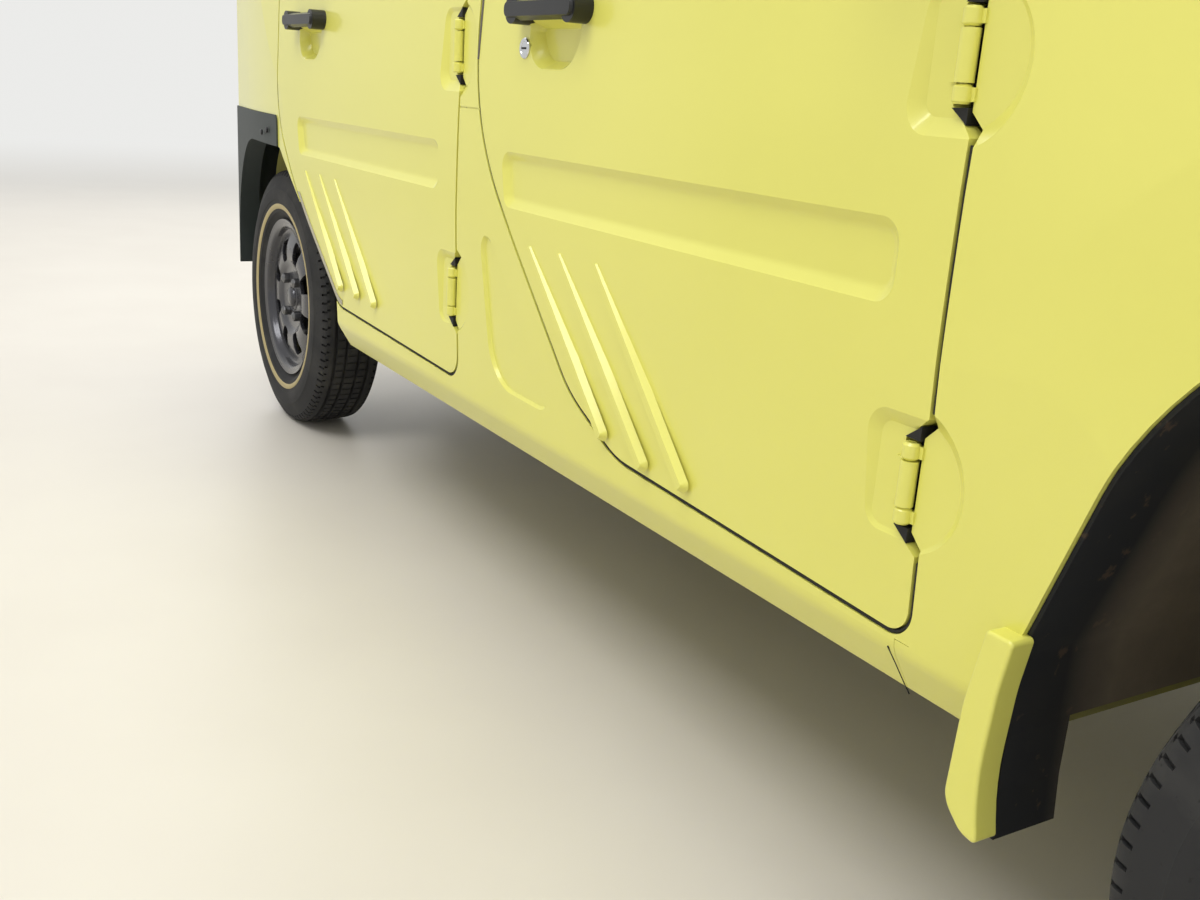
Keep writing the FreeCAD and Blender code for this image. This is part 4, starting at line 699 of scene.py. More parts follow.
def layBead(name, points, radius, closed=True):
    # a soft bead of rubber along a line of points
    editAll(drawLine(name, points + points[:1] if closed else points), mergeDoubles)
    bpy.ops.object.convert(target="CURVE")
    curve = bpy.context.object
    curve.data.bevel_depth = radius / 1000
    curve.data.bevel_resolution = 2
    curve.data.use_fill_caps = not closed
    only(curve)
    bpy.ops.object.convert(target="MESH")
    return smooth(fresh(name), 60)


def layPair(name, points, radius, finishName, bodies, closed=False):
    bothSides(layBead(name, points, radius, closed), finishName, bodies, "black_plastic")


def sealDoors():
    # inset from the outline, depth inside the skin, and the bead's radius
    look = {"DoorSeal": (6.5, 33, 8.8), "WindowRubber": (3, 15, 5.5)}
    lines = {"DoorSeal": (frontDoorLine, rearDoorLine), "WindowRubber": (frontWindowLine, rearWindowLine)}
    for label, (inset, depth, radius) in look.items():
        for end, line, doors in zip(("front", "rear"), lines[label], (frontDoors, rearDoors)):
            path = onSide(roundedLine(shrunk(line, inset)), depth)
            layPair(end + label, path, radius, "rubber", doors, True)


def sealScreens():
    # the windscreen's rubber lies on its sloping plane, the tailgate's on the tail
    look = {"inset": 3, "bead": 7.5, "screenDepth": 4, "tailDepth": 8}
    screen = shrunk([(24, -602, 50), (738, -492, 70), (738, 492, 70), (24, 602, 50)], look["inset"])
    path = [onScreen(up, across, -look["screenDepth"]) for up, across in roundedLine(screen)]
    settle(layBead("windscreenRubber", path, look["bead"]), "rubber", "body", "black_plastic")
    tail = shrunk([(-500, 985, 45), (-455, 1426, 50), (455, 1426, 50), (500, 985, 45)], look["inset"])
    path = [onTail(height, across, -look["tailDepth"]) for across, height in roundedLine(tail)]
    settle(layBead("tailgateRubber", path, look["bead"]), "rubber", "tailgate", "black_plastic")


sealDoors()
sealScreens()
print("seals laid")


# lamps, wipers, mirrors, plate and the small outside fittings

def copyNode(node, name, keep):
    # part of a CAD node's mesh as a piece of its own
    piece = bpy.data.objects.new(name, frame["nodes"][node].data.copy())
    bpy.context.scene.collection.objects.link(piece)
    editFaces(piece, lambda face: True, lambda: bpy.ops.mesh.remove_doubles(threshold=0.00002))
    editFaces(piece, lambda face: not keep(face), lambda: bpy.ops.mesh.delete(type="FACE"))
    return fresh(name)


def makeHeadlamps():
    # outlines are radii and distances along the lamp's axis
    look = {"place": (1661.5, -470, 686), "radius": 83.4, "rise": 16.8, "lensWall": 2.5}
    dome = (look["radius"] ** 2 + look["rise"] ** 2) / (2 * look["rise"])
    front = [(r, look["rise"] - dome + math.sqrt(dome ** 2 - r ** 2))
             for r in (0, 12, 24, 36, 48, 60, 70, 78, look["radius"])]
    lens = front + [(look["radius"], -6), (81, -6)]
    lens += [(r * 0.968, x - look["lensWall"]) for r, x in reversed(front)]
    hollow = [(r, -50 + 46 * (r / 78) ** 2) for r in (13, 22, 32, 42, 52, 62, 70, 78)]
    reflector = hollow + [(80.5, -4), (80.5, -9)] + [(r, x - 3) for r, x in reversed(hollow[:-1])] + hollow[:1]
    bowl = [(0, -62), (30, -62), (52, -61.5), (56.5, -58), (83.2, -22.5), (83.4, -8), (81.2, -8), (81, -23.5),
            (53, -58.5), (0, -59.5)]
    bezel = [(83.8, -6), (83.8, 3.5), (82.6, 5.8), (80.6, 6.2), (78.6, 4.5), (78.2, 2), (80, 0), (83.8, -6)]
    bulbCap = [(0, -50), (12.5, -50), (12.5, -43), (7.5, -42.5), (7.2, -26), (10.5, -23.5), (10.8, -9.5),
               (8.5, -6.5), (0, -5.5)]
    parts = [("headlampLens", lens, "lens", 96), ("headlampReflector", reflector, "chrome", 96),
             ("headlampBowl", bowl, "blackSatin", 64), ("headlampBezel", bezel, "chrome", 96),
             ("headlampBulbCap", bulbCap, "chrome", 32)]
    for name, outline, finishName, steps in parts:
        right = moved(smooth(spinLine(name, outline, steps, "X"), 45), shift(*look["place"]))
        slot = "black_plastic" if finishName == "blackSatin" else "lamp_glass"
        for piece in bothSides(right, finishName, shell, slot):
            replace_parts(piece, "headlamps")
    lenses = copyNode("headlamps", "indicatorLenses", lambda face: face.center.z < 0.55)
    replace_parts(mount(lenses, "amberLens", "body", "lamp_glass", 3, 3), "headlamps")


def makeWiper(name, body, put, way, pivot, hold, tips, sink):
    # a tapering arm, the blade's carrier and its rubber lip, and a cap on the spindle
    bars = [("Arm", pivot, hold, (6.5, 3.5), 3.5, 8.5, "blackSatin"),
            ("Carrier", tips[0], tips[1], (3.6, 3.6), -2.5, 3.4, "blackSatin"),
            ("Lip", tips[0], tips[1], (1.3, 1.3), -sink, -2.6, "rubber")]
    for label, start, end, (startHalf, endHalf), low, high, finishName in bars:
        run = (Vector(end) - Vector(start)).normalized()
        corners = [put(spot[0] - run.y * half, spot[1] + run.x * half, low) for spot, half in (
            (start, startHalf), (end, endHalf), (end, -endHalf), (start, -startHalf))]
        bar = fillLine(name + label, corners, Vector(way) * (high - low))
        mount(bar, finishName, body, "black_plastic", 0.8)
    cap = addDrum(name + "Cap", put(pivot[0], pivot[1], 5), 10.5, 12, way, 24)
    mount(insetFaces(cap, way, (4, 2.5)), "blackSatin", body, "black_plastic", 1.2)


def makeMirrors():
    look = {"x": 505.8, "depth": 3.2}
    outline = [(-881, 1010, 20), (-881, 1114, 26), (-752, 1114, 20), (-752, 1010, 16)]
    glass = sheetBetween("mirrorGlass", outline, look["x"], look["x"] - look["depth"], 8, "X")
    mount(insetFaces(glass, (-1, 0, 0), (2.2, -0.8)), "mirror", frontDoors, "black_plastic", degrees=30)


def makeLocks():
    # a bright disc with its key slot, low behind each front handle
    look = {"x": -91, "z": 776, "slotHalf": (6.5, 1.2)}
    outline = [(0, 2), (11.8, 2), (12.2, -1.6), (11.2, -2.8), (7.8, -3.1), (7.2, -2.4), (0, -2.4)]
    disc = spinLine("doorLock", outline, 40)
    long, thin = look["slotHalf"]
    slot = softEdges(addBlock("lockSlot", (-long, -2.9, -thin), (long, -2.2, thin)), 0.3)
    for piece, finishName in ((disc, "chrome"), (slot, "rubber")):
        moved(piece, shift(look["x"], -skinHalf(look["z"]), look["z"]))
        mount(piece, finishName, frontDoors, "black_plastic", degrees=35)


def makeEdgeTrim():
    # the pale strip round the rear door's lower back edge, the dark one on the front door's, and a black bead in each
    # gap just under the skin, painted shade in the gaps
    look = {"ribbon": (3, 11.5), "strip": 2.7, "sill": 0.7, "gap": 2.1, "gapDepth": 3.2, "gapInset": -3,
            "hingeZ": {"front": (450, 775), "rear": (450, 778)}, "hingeClear": 62}
    near, far = ([(x, z) for x, z in roundedLine(shrunk(rearDoorLine, inset), 24) if x < -754 and 343 < z < 520]
                 for inset in look["ribbon"])
    ribbon = fillLine("rearEdgeTrim", onSide(near + far[::-1], -0.2), (0, -1.1, 0))
    mount(ribbon, "strip", rearDoors, "black_plastic", degrees=30)
    path = onSide([(-222.2 + (z - 770) * 0.023, z) for z in (762, 800, 840, 880, 920)], 1.2)
    layPair("frontEdgeTrim", path, look["strip"], "stripDark", frontDoors)
    # the sill's joint to the front fender, seen as a thin dark line
    path = onSide([(609, 306), (610, 299), (611, 290), (612, 277), (613.5, 258)], 0.1)
    layPair("sillJoint", path, look["sill"], "rubber", shell)
    # painted shade: black beads in the door gaps, nearly flush with the skin, stand in for the shade deep in each gap
    for end, line in (("front", frontDoorLine), ("rear", rearDoorLine)):
        low, high = look["hingeZ"][end]
        clear = look["hingeClear"]
        around = roundedLine(shrunk(line, look["gapInset"]), 8)
        edge = max(x for x, z in around)
        kept = [(x, z) for x, z in around if x < edge - 1 or z < low - clear or z > high + clear]
        turn = max(range(len(kept)), key=lambda i: abs(kept[i][1] - kept[i - 1][1]) * (kept[i][0] > edge - 60))
        for label, path in (("", [(edge, high + clear)] + kept[turn:] + kept[:turn] + [(edge, low - clear)]),
                            ("Middle", [(edge, low + clear), (edge, (low + high) / 2), (edge, high - clear)])):
            layPair(end + "GapRubber" + label, onSide(path, look["gapDepth"]), look["gap"], "rubber", shell)


def makeHingeShadeSheets():
    # painted shade: a thin black sheet on the floor of each door's notch, behind the hinge's barrel, and a black
    # filler above and below, standing in for the shade in the notch
    look = {"half": 35, "slope": 25, "behind": 10, "ahead": 22, "y": -708.7, "sheet": 1.2, "fill": 22}
    for body, doors, pins in (("DoorFront", frontDoors, [(609.5, 450), (609.5, 775)]),
                              ("DoorRear", rearDoors, [(-293.5, 450), (-293.5, 778)])):
        for letter, (x, z) in zip("AB", pins):
            back, ahead, half, tall = x - look["behind"], x + look["ahead"], look["half"], look["half"] + look["slope"]
            outlines = [("", [(back, z - half, 4), (back, z + half, 4), (ahead, z + tall, 0), (ahead, z - tall, 0)])]
            for label, way in (("Low", -1), ("High", 1)):
                inner, outer = z + way * 36.2, z + way * 48.6
                outlines.append((label, [(x - 8.5, z + way * 36.8, 0), (x + 8, inner, 0), (x + 8, outer, 0)]))
            pieces = [sheetBetween("hingeGasket" + body + letter + label, corners, look["y"],
                                   look["y"] - look["fill" if label else "sheet"], 3) for label, corners in outlines]
            for piece in pieces:
                bothSides(piece, "rubber", doors, "black_plastic")


def makeScrews():
    # cross-head screws that hold the rear cladding
    look = {"places": [(-1191, 617), (-1228, 611)], "proud": 2.6}
    for letter, (x, z) in zip("AB", look["places"]):
        screw = spinLine("claddingScrew" + letter, [(0, 1), (5.6, 1), (5.8, -1), (4.4, -2.6), (2, -3), (0, -3)], 24)
        moved(screw, shift(x, -skinHalf(z) - look["proud"], z))
        mount(screw, "blackSatin", shell, "dark_plastic", degrees=35)


def makeNumberPlate():
    # a blank pressed plate in the tailgate's recess, with two screws
    look = {"half": (165, 82), "z": 730, "back": -1662.6, "sheet": 1.4, "corner": 14, "screw": (-1663.8, 105, 790)}
    y, low, high = look["half"][0], look["z"] - look["half"][1], look["z"] + look["half"][1]
    corners = [(u, v, look["corner"]) for u, v in ((-y, low), (-y, high), (y, high), (y, low))]
    plate = sheetBetween("rearPlate", corners, look["back"], look["back"] - look["sheet"], 6, "X")
    insetFaces(plate, (-1, 0, 0), (2.5, 1.4), (3.5, 0), (2.2, -1.4))
    mount(plate, "plate", "tailgate", "body_paint", degrees=30)
    x, y, z = look["screw"]
    for label, side in (("Right", -1), ("Left", 1)):
        screw = spinLine("plateScrew" + label, [(0, 0), (6.8, 0), (6.8, -2.4), (5, -4.2), (0, -4.4)], 24)
        moved(screw, shift(x, side * y, z) @ turned(-90, "Z"))
        mount(screw, "chrome", "tailgate", "body_paint", degrees=35)


makeHeadlamps()
makeWiper("wiperDriver", "body", onScreen, screenOut, (13, -25), (58, -290), [(50, -95), (66, -520)], 8)
makeWiper("wiperPassenger", "body", onScreen, screenOut, (13, 480), (58, 215), [(50, 410), (66, 15)], 8)
makeWiper("wiperRear", "tailgate", onTail, (-1, 0, 0), (964, -20), (1008, 140), [(1004, -20), (1014, 300)], 12)
makeMirrors()
makeLocks()
makeEdgeTrim()
makeHingeShadeSheets()
makeScrews()
makeNumberPlate()
print("outside fittings made")


# cabin: padded seats, door trims, dashboard fittings and lining

def puff(piece, cap, voxel):
    # the shape is remeshed and blown up like a sewn cover, and no point moves further than the cap
    useModifier(piece, "REMESH", mode="VOXEL", voxel_size=voxel / 1000, use_smooth_shade=True)
    before = [vertex.co.copy() for vertex in piece.data.vertices]
    only(piece)
    cloth = piece.modifiers.new("Cloth", "CLOTH")
    cloth.settings.use_pressure = True
    cloth.settings.uniform_pressure_force = 4.0
    cloth.settings.effector_weights.gravity = 0
    cloth.settings.quality = 5
    cloth.point_cache.frame_start = 1
    cloth.point_cache.frame_end = 20
    for step in range(1, 21):
        bpy.context.scene.frame_set(step)
    bpy.ops.object.modifier_apply(modifier=cloth.name)
    for vertex, start in zip(piece.data.vertices, before):
        move = vertex.co - start
        if move.length > cap / 1000:
            vertex.co = start + move * (cap / 1000 / move.length)
    bpy.context.scene.frame_set(1)
    return smooth(useModifier(piece, "SMOOTH", factor=0.5, iterations=4), 180)


def sew(piece, axis, places, depth, width):
    # channels sewn across a pad: the cover is drawn in along each line
    for vertex in piece.data.vertices:
        for place in places:
            away = (vertex.co[axis] * 1000 - place) / width
            if abs(away) < 3:
                vertex.co += vertex.normal * (-depth / 1000 * math.exp(-away * away))
    piece.data.update()


def makePads(parts, voxel, seatY=0):
    # each pad is blown up and sewn; a bolster has a mirror image on its own seat, about the seat's middle
    look = {"cap": 12, "seamDepth": 6, "seamWidth": 6, "fill": 0.8}
    for name, profile, y0, y1, finishName, axis, channels in parts:
        pad = puff(sheetBetween(name, profile, y0, y1), look["cap"], voxel)
        sew(pad, axis, channels, look["seamDepth"], look["seamWidth"])
        pads = [pad]
        if name.endswith("Side"):
            pads.append(copied(pad, name + "Inner", shift(0, 2 * seatY, 0) @ toLeft))
        for one in pads:
            for seat in bothSides(one, finishName, shell, "seat_cloth"):
                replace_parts(seat, "seats")


def makeFrontSeat():
    look = {"x": 62.5, "y": -335, "insert": 142, "edge": 222, "gap": 7, "head": 118, "voxel": 8.5}
    x, y, inner, outer, gap, head = (look[key] for key in ("x", "y", "insert", "edge", "gap", "head"))
    cushion = [(x - 138, 366, 30), (x - 140, 436, 30), (x + 200, 460, 30), (x + 238, 440, 40), (x + 236, 366, 30)]
    cushionSide = [(x - 138, 362, 30), (x - 140, 446, 30), (x + 190, 470, 26), (x + 238, 440, 40), (x + 236, 366, 30)]
    back = [(x - 176, 462, 26), (x - 262, 935, 26), (x - 318, 935, 26), (x - 268, 400, 30), (x - 200, 392, 20)]
    backSide = [(x - 164, 468, 26), (x - 252, 925, 30), (x - 318, 925, 26), (x - 268, 400, 30), (x - 200, 392, 20)]
    headRest = [(x - 272, 992, 24), (x - 280, 1098, 24), (x - 332, 1094, 24), (x - 326, 992, 24)]
    makePads([
        ("seatCushion", cushion, y - inner, y + inner, "cloth", 0, [x - 70, x + 5, x + 80, x + 155]),
        ("seatCushionSide", cushionSide, y - outer, y - inner - gap, "clothDark", 0, []),
        ("seatBack", back, y - inner, y + inner, "cloth", 2, [560, 640, 720, 800, 880]),
        ("seatBackSide", backSide, y - outer, y - inner - gap, "clothDark", 2, []),
        ("headRest", headRest, y - head, y + head, "clothDark", 1, []),
    ], look["voxel"], y)


def makeRearSeat():
    look = {"x": -647.5, "gap": 5, "edge": 578, "seams": [-200, -390], "voxel": 10.5}
    x = look["x"]
    cushion = [(x - 150, 366, 30), (x - 152, 438, 30), (x + 160, 458, 30), (x + 196, 436, 40), (x + 190, 366, 30)]
    back = [(x - 186, 464, 26), (x - 256, 962, 26), (x - 322, 960, 26), (x - 268, 400, 30), (x - 205, 390, 20)]
    makePads([(name, profile, -look["edge"], -look["gap"], "cloth", 1, look["seams"])
              for name, profile in (("rearCushion", cushion), ("rearBack", back))], look["voxel"])


def makeSeatFittings():
    # head rest posts, and moulded covers over the seat frames' outer sides
    look = {"x": 62.5, "y": -335, "posts": (-52, 52), "postRadius": 5.5, "cover": (-234, -226)}
    x, y = look["x"], look["y"]
    for letter, away in zip("AB", look["posts"]):
        post = addDrum("headPost" + letter, (x - 300, y + away, 975), look["postRadius"], 75, (-0.08, 0, 1), 20)
        mount(post, "chrome", shell, "seat_cloth", 1)
    profile = [(x - 262, 352, 30), (x - 250, 430, 30), (x - 190, 440, 40), (x - 150, 400, 40), (x + 180, 392, 20),
               (x + 205, 352, 14)]
    cover = sheetBetween("seatSideCover", profile, y + look["cover"][0], y + look["cover"][1])
    mount(insetFaces(cover, (0, -1, 0), (9, -1.6)), "dash", shell, edge=1.2)


def followSkin(piece, depth):
    # the sheet is cut across at a few heights, and then bent along the skin
    for z in (400, 480, 560, 700, 820):
        editAll(piece, lambda: bpy.ops.mesh.bisect(plane_co=(0, 0, z / 1000), plane_no=(0, 0, 1)))
    for vertex in piece.data.vertices:
        vertex.co.y -= (skinHalf(vertex.co.z * 1000) - depth) / 1000
    piece.data.update()
    return piece


def makeDoorTrims():
    # x places of the arm rest, then x and z of the window winder and of the speaker
    look = {"inset": 30, "top": 926, "wallDepth": 45.8, "sheet": 6, "skin": 737.5}
    doors = [("front", frontDoorLine, frontDoors, (60, 350), (400, 640), (430, 470)),
             ("rear", rearDoorLine, rearDoors, (-760, -480), (-420, 640), (-420, 470))]
    for name, line, bodies, (back, front), (x, z), (speakerX, speakerZ) in doors:
        outline = []
        for u, v in roundedLine(shrunk(line, look["inset"])):
            spot = Vector((u, 0, min(v, look["top"])))
            if not outline or (spot - outline[-1]).length > 2:
                outline.append(spot)
        panel = fillLine(name + "DoorTrim", outline, (0, look["sheet"], 0))
        mount(followSkin(panel, look["wallDepth"]), "dash", bodies, degrees=30)
        inner = look["wallDepth"] + look["sheet"] - look["skin"]
        mountBlock(name + "ArmRest", (back, inner - 2, 652), (front, inner + 52, 700), (0, 0, 1),
                   [(12, 0), (3, -10)], "blackSatin", bodies, 6, 3)
        mountBlock(name + "InnerHandle", (front - 130, inner - 1, 775), (front - 20, inner + 6, 830), (0, 1, 0),
                   [(6, 0), (2, -5)], "blackSatin", bodies, 2)
        mountBlock(name + "InnerLever", (front - 120, inner + 1, 795), (front - 50, inner + 11, 812), (0, 1, 0),
                   [(3, 1)], "chrome", bodies, 2)
        knob = spinLine(name + "Winder", [(0, -2), (24, -2), (23, 8), (12, 12), (0, 13)], 32)
        arm = addBlock(name + "WinderArm", (0, 8, -9), (105, 16, 9))
        editFaces(arm, lambda face: face.normal.x > 0.9, lambda: bpy.ops.mesh.extrude_region_move(
            TRANSFORM_OT_translate={"value": (0.012, 0.006, 0)}))
        softEdges(arm, 3, 3)
        grip = spinLine(name + "WinderGrip", [(0, 12), (8, 13), (9.5, 20), (11, 34), (8, 40), (0, 41)], 24)
        for part in (knob, arm, moved(grip, shift(102, 0, 0))):
            mount(moved(part, shift(x, inner, z)), "blackSatin", bodies)
        rings = [(0, 4.5), (8, 4.5)]
        for i in range(1, 7):
            rings += [(9 * i, 2.2), (9 * i + 3.5, 2.2), (9 * i + 4, 4.5), (9 * i + 8, 4.5)]
        grille = spinLine(name + "Speaker", rings + [(66, 3), (67, -2), (0, -2)], 64)
        depth = look["sheet"] + look["wallDepth"] - skinHalf(speakerZ)
        mount(moved(grille, shift(speakerX, depth, speakerZ)), "blackSatin", bodies)


def onDash(across, height, out):
    # a place on the dashboard's face, proud of it towards the seats
    return (507 + (850 - height) * 0.133 - out, across, height)


def dashPlate(name, y0, y1, z0, z1, radius, thick, finishName, *insets):
    corners = [(y0, z0, radius), (y0, z1, radius), (y1, z1, radius), (y1, z0, radius)]
    plate = fillLine(name, [onDash(y, z, -1) for y, z in roundedLine(corners, 5)], (-(thick + 1), 0, 0))
    mount(insetFaces(plate, (-1, 0, 0), *insets), finishName, "body", edge=1.2, degrees=35)


def makeDashFittings():
    look = {"driverY": -335, "dials": [(-68, 24), (0, 27), (68, 24)], "knobs": (-56, 0, 56), "knobZ": 664,
            "vents": (("CentreRight", -66), ("CentreLeft", 66), ("OuterRight", -560), ("OuterLeft", 560)),
            "ventHalf": (62, 24), "ventZ": 806, "slats": 4}
    y = look["driverY"]
    hood = [(492, 892, 6), (505, 944, 14), (600, 936, 30), (652, 900, 6), (640, 880, 4), (512, 862, 4)]
    mount(sheetBetween("clusterHood", hood, y - 158, y + 158, 5), "dash", "body", edge=11, segments=4)
    face = [(y - 140, 876, 12), (y - 140, 926, 20), (y + 140, 926, 20), (y + 140, 876, 12)]
    mount(sheetBetween("clusterFace", face, 493.5, 499.5, 6, "X"), "blackSatin", "body", edge=1)
    for i, (away, radius) in enumerate(look["dials"]):
        spot = shift(493.2, y + away, 901)
        ring = [(0.86, 0), (0.9, -1), (1, -2.8), (1.06, -1), (1.06, 1), (0.86, 1), (0.86, 0)]
        ring = spinLine("dialRing" + "ABC"[i], [(radius * share, x) for share, x in ring], 48, "X")
        mount(moved(ring, spot), "chrome", "body")
        needle = softEdges(addBlock("dialNeedle" + "ABC"[i], (-1.6, -0.7, -2), (-0.4, 0.7, radius * 0.78)), 0.3)
        settle(moved(needle, spot @ turned(20 * i - 50, "X")), "needle", "body", "dash_plastic")
    dashPlate("centrePanel", -92, 92, 628, 752, 10, 7, "blackSatin", (6, 0), (2, -2))
    dashPlate("radioBlank", -80, 80, 700, 742, 4, 9, "dash", (3, 0), (1.5, -1.5))
    dashPlate("gloveLid", 170, 560, 640, 756, 14, 3, "dash", (7, 0), (2, -1.2))
    dashPlate("gloveLatch", 340, 390, 736, 752, 4, 7, "blackSatin", (3, -2))
    for letter, away in zip("ABC", look["knobs"]):
        outline = [(0, 4), (19, 4), (18.5, -4), (15.5, -7), (14.2, -16), (12, -17.5), (0, -17.5)]
        knob = spinLine("heaterKnob" + letter, outline, 40, "X")
        mount(moved(knob, shift(*onDash(away, look["knobZ"], 6))), "dash", "body")
    (half, tall), middleZ = look["ventHalf"], look["ventZ"]
    for label, middle in look["vents"]:
        dashPlate("vent" + label, middle - half, middle + half, middleZ - tall, middleZ + tall, 9, 6, "blackSatin",
                  (5, 0), (1, -9))
        slats = []
        for k in range(look["slats"]):
            z = middleZ - 15 + 10 * k
            corners = [(6 - half, z), (6 - half, z + 1.6), (half - 6, z + 1.6), (half - 6, z)]
            slat = fillLine("slat", [onDash(middle + u, v, 4.5) for u, v in corners], (6, 0, 2))
            slats.append(softEdges(slat, 0.4))
        mount(joinPieces("ventSlats" + label, slats), "dash", "body")


def makeControls():
    # gear lever in its boot, hand brake, horn pad and stalks
    look = {"lever": (330, 0, 313), "hub": (372.5, -335, 800), "columnDegrees": 24, "stalks": 75}
    boot = spinLine("gearBoot", [(0, 0), (62, 0), (60, 6), (48, 14), (50, 22), (36, 30), (37, 38), (22, 50),
                                 (21, 58), (12, 66), (0, 68)], 40, "Z")
    mount(moved(boot, shift(*look["lever"])), "rubber", "body", degrees=50)
    stick = spinLine("gearLever", [(0, 50), (6.5, 50), (5.2, 170), (12, 178), (21, 192), (23, 206), (19, 222),
                                   (8, 229), (0, 230)], 32, "Z")
    mount(moved(stick, shift(*look["lever"]) @ turned(-8, "Y")), "blackSatin", "body", degrees=50)
    brake = [(-60, 318, 4), (-50, 356, 14), (60, 384, 10), (170, 402, 10), (176, 384, 10), (60, 362, 12), (0, 318, 4)]
    mount(sheetBetween("handBrake", brake, -11, 11), "blackSatin", "body", edge=6, segments=3)
    slope = math.radians(look["columnDegrees"])
    column = Vector((math.cos(slope), 0, -math.sin(slope)))
    pad = spinLine("hornPad", [(0, 4), (52, 4), (54.5, 0), (53, -9), (44, -15.5), (20, -18.5), (0, -19)], 48, "Z")
    moved(pad, shift(*look["hub"]) @ column.to_track_quat("Z", "Y").to_matrix().to_4x4())
    mount(pad, "dash", "steering_wheel", "black_plastic", degrees=50)
    for label, side in (("Right", -1), ("Left", 1)):
        middle = Vector(look["hub"]) + column * look["stalks"] + Vector((-8, side * 86, 8))
        stalk = addDrum("stalk" + label, middle, 5.5, 125, (-0.12, side, 0.12), 20)
        editFaces(stalk, lambda face: face.normal.y * side > 0.8, lambda: (
            bpy.ops.mesh.inset(thickness=-0.003, depth=0.004), bpy.ops.mesh.extrude_region_move(
                TRANSFORM_OT_translate={"value": (-0.002, side * 0.022, 0.002)})))
        mount(stalk, "blackSatin", "body", edge=2)


def makeLining():
    # carpet on the floor, cloth under the roof, sun visors and the inside mirror
    for end, x0, x1 in (("Front", -210, 700), ("Rear", -880, -230)):
        for label, y0, y1 in (("Right", -655, -112), ("Left", 112, 655)):
            mountBlock("carpet" + end + label, (x0, y0, 274.5), (x1, y1, 283.5), (0, 0, 1), [(12, 0), (6, -1.5)],
                       "carpet", "body", 2)
    mountBlock("headliner", (-1500, -530, 1508.5), (170, 530, 1514.5), (0, 0, -1), [(30, 0), (30, -3)],
               "headliner", "body", 1.5)
    visor = insetFaces(addBlock("sunVisor", (60, -470, 1478), (215, -120, 1494)), (0, 0, -1), (10, 1.5))
    mount(insetFaces(visor, (0, 0, 1), (10, 1.5)), "headliner", shell, edge=7, segments=3)
    mountBlock("insideMirror", (248, -110, 1385), (262, 110, 1440), (-1, 0, 0), [(4, 0), (1, -1)],
               "blackSatin", "body", 5, 3)
    glass = addBlock("insideMirrorGlass", (246.6, -104, 1391), (247.8, 104, 1434))
    mount(glass, "mirror", "body", edge=0.4, degrees=0)
    mount(addDrum("mirrorStem", (262, 0, 1458), 6, 50, (0.25, 0, 1), 20), "blackSatin", "body", edge=1)


makeFrontSeat()
makeRearSeat()
makeSeatFittings()
print("seats padded")
makeDoorTrims()
makeDashFittings()
makeControls()
makeLining()
print("cabin fitted")


# floor, light and camera, in metres

def seenRays(owner):
    # 1 for what the camera sees, straight or through gloss and glass, and 0 for light on other surfaces
    rays = addNode(owner, "LightPath", {})
    seen = rays.outputs["Is Camera Ray"]
    for other in ("Is Glossy Ray", "Is Transmission Ray"):
        seen = addNode(owner, "Math", {"operation": "MAXIMUM", 0: seen, 1: rays.outputs[other]})
    return seen


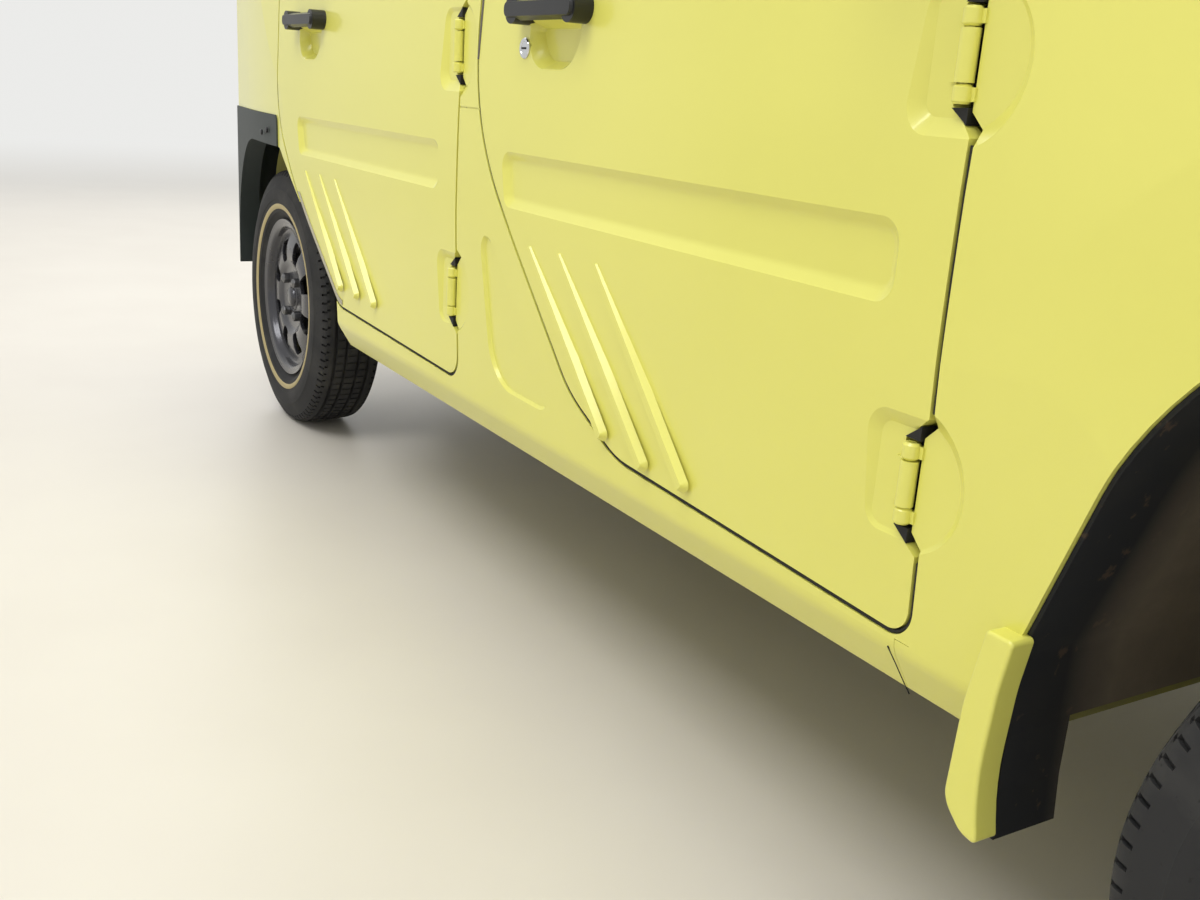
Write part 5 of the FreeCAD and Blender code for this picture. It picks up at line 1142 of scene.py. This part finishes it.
def makeStage():
    look = {"floorColour": "#E0DBD1", "floorShade": "#D8D2C8", "size": 60.0, "background": "#F1F1EF",
            "fill": 0.84, "backgroundStrength": 0.95, "fadeFrom": 3.5, "fadeTo": 11.0}
    lamps = {  # place, width and power
        "sideLamp": ((0.2, -3.0, 4.6), 2.2, 97), "frontLamp": ((5.0, -0.8, 3.6), 2.8, 50),
        "leftLamp": ((0.0, 3.6, 4.4), 3.4, 74), "topLamp": ((0.0, 0.0, 5.0), 4.0, 40),
        "rearLamp": ((-5.2, 0.5, 3.2), 3.2, 60),
    }
    deselectAll()
    bpy.ops.mesh.primitive_plane_add(size=look["size"], location=(0, 0, 0))
    floor = fresh("floor")
    useModifier(floor, "SUBSURF", subdivision_type="SIMPLE", levels=2, render_levels=2)
    tile, shader, place = startMaterial("paleFloor", look["floorColour"], {"Roughness": 0.44})
    cloud = addNode(tile, "TexNoise", {"Scale": perMm(300), "Detail": 3.0, "Vector": place})
    feed(tile, shader, {"Base Color": addNode(tile, "MixRGB", {
        "Color1": look["floorShade"], "Color2": look["floorColour"], "Fac": cloud})})
    floor.data.materials.append(tile)
    # far away the floor fades into the background, where only what is seen changes and not the light
    far = addNode(tile, "VectorMath", {"operation": "LENGTH", 0: place}).outputs["Value"]
    fade = addNode(tile, "MapRange", {"From Min": look["fadeFrom"], "From Max": look["fadeTo"],
                                      "interpolation_type": "SMOOTHSTEP", "Value": far})
    glow = addNode(tile, "Emission", {"Color": look["background"], "Strength": look["backgroundStrength"]})
    seenFade = addNode(tile, "Math", {"operation": "MULTIPLY", 0: fade, 1: seenRays(tile)})
    blend = addNode(tile, "MixShader", {"Fac": seenFade, 1: shader, 2: glow})
    feed(tile, tile.node_tree.nodes["Material Output"], {"Surface": blend})
    world = bpy.context.scene.world or bpy.data.worlds.new("world")
    bpy.context.scene.world = world
    world.use_nodes = True
    strength = addNode(world, "MapRange", {
        "To Min": look["fill"], "To Max": look["backgroundStrength"], "Value": seenRays(world)})
    feed(world, world.node_tree.nodes["Background"], {"Color": look["background"], "Strength": strength})
    for name, (spot, size, power) in lamps.items():
        deselectAll()
        way = (Vector((0, 0, 0.5)) - Vector(spot)).to_track_quat("-Z", "Y").to_euler()
        bpy.ops.object.light_add(type="AREA", location=spot, rotation=way)
        lamp = bpy.context.object
        lamp.name = name
        lamp.data.size = size
        lamp.data.energy = power


def makeCamera():
    # the photograph's own view: low beside the right front wheel, looking back along the doors
    view = {"spot": (1.27434, -1.42156, 0.73417), "yaw": 31.25, "pitch": 16.46, "roll": -3.81, "lens": 36.48}
    yaw, pitch, roll = (math.radians(view[key]) for key in ("yaw", "pitch", "roll"))
    ahead = Vector((-math.cos(yaw) * math.cos(pitch), math.sin(yaw) * math.cos(pitch), -math.sin(pitch)))
    right = ahead.cross(Vector((0, 0, 1))).normalized()
    down = ahead.cross(right)
    across = math.cos(roll) * right + math.sin(roll) * down
    below = -math.sin(roll) * right + math.cos(roll) * down
    turn = Matrix((across, -below, -ahead)).transposed()
    bpy.ops.object.camera_add(location=view["spot"], rotation=turn.to_euler())
    camera = bpy.context.object
    camera.name = "photoCamera"
    camera.data.lens = view["lens"]
    camera.data.sensor_width = 36
    camera.data.clip_start = 0.02
    bpy.context.scene.camera = camera
    bpy.context.scene.view_settings.view_transform = "Standard"


makeStage()
makeCamera()
print("stage ready")
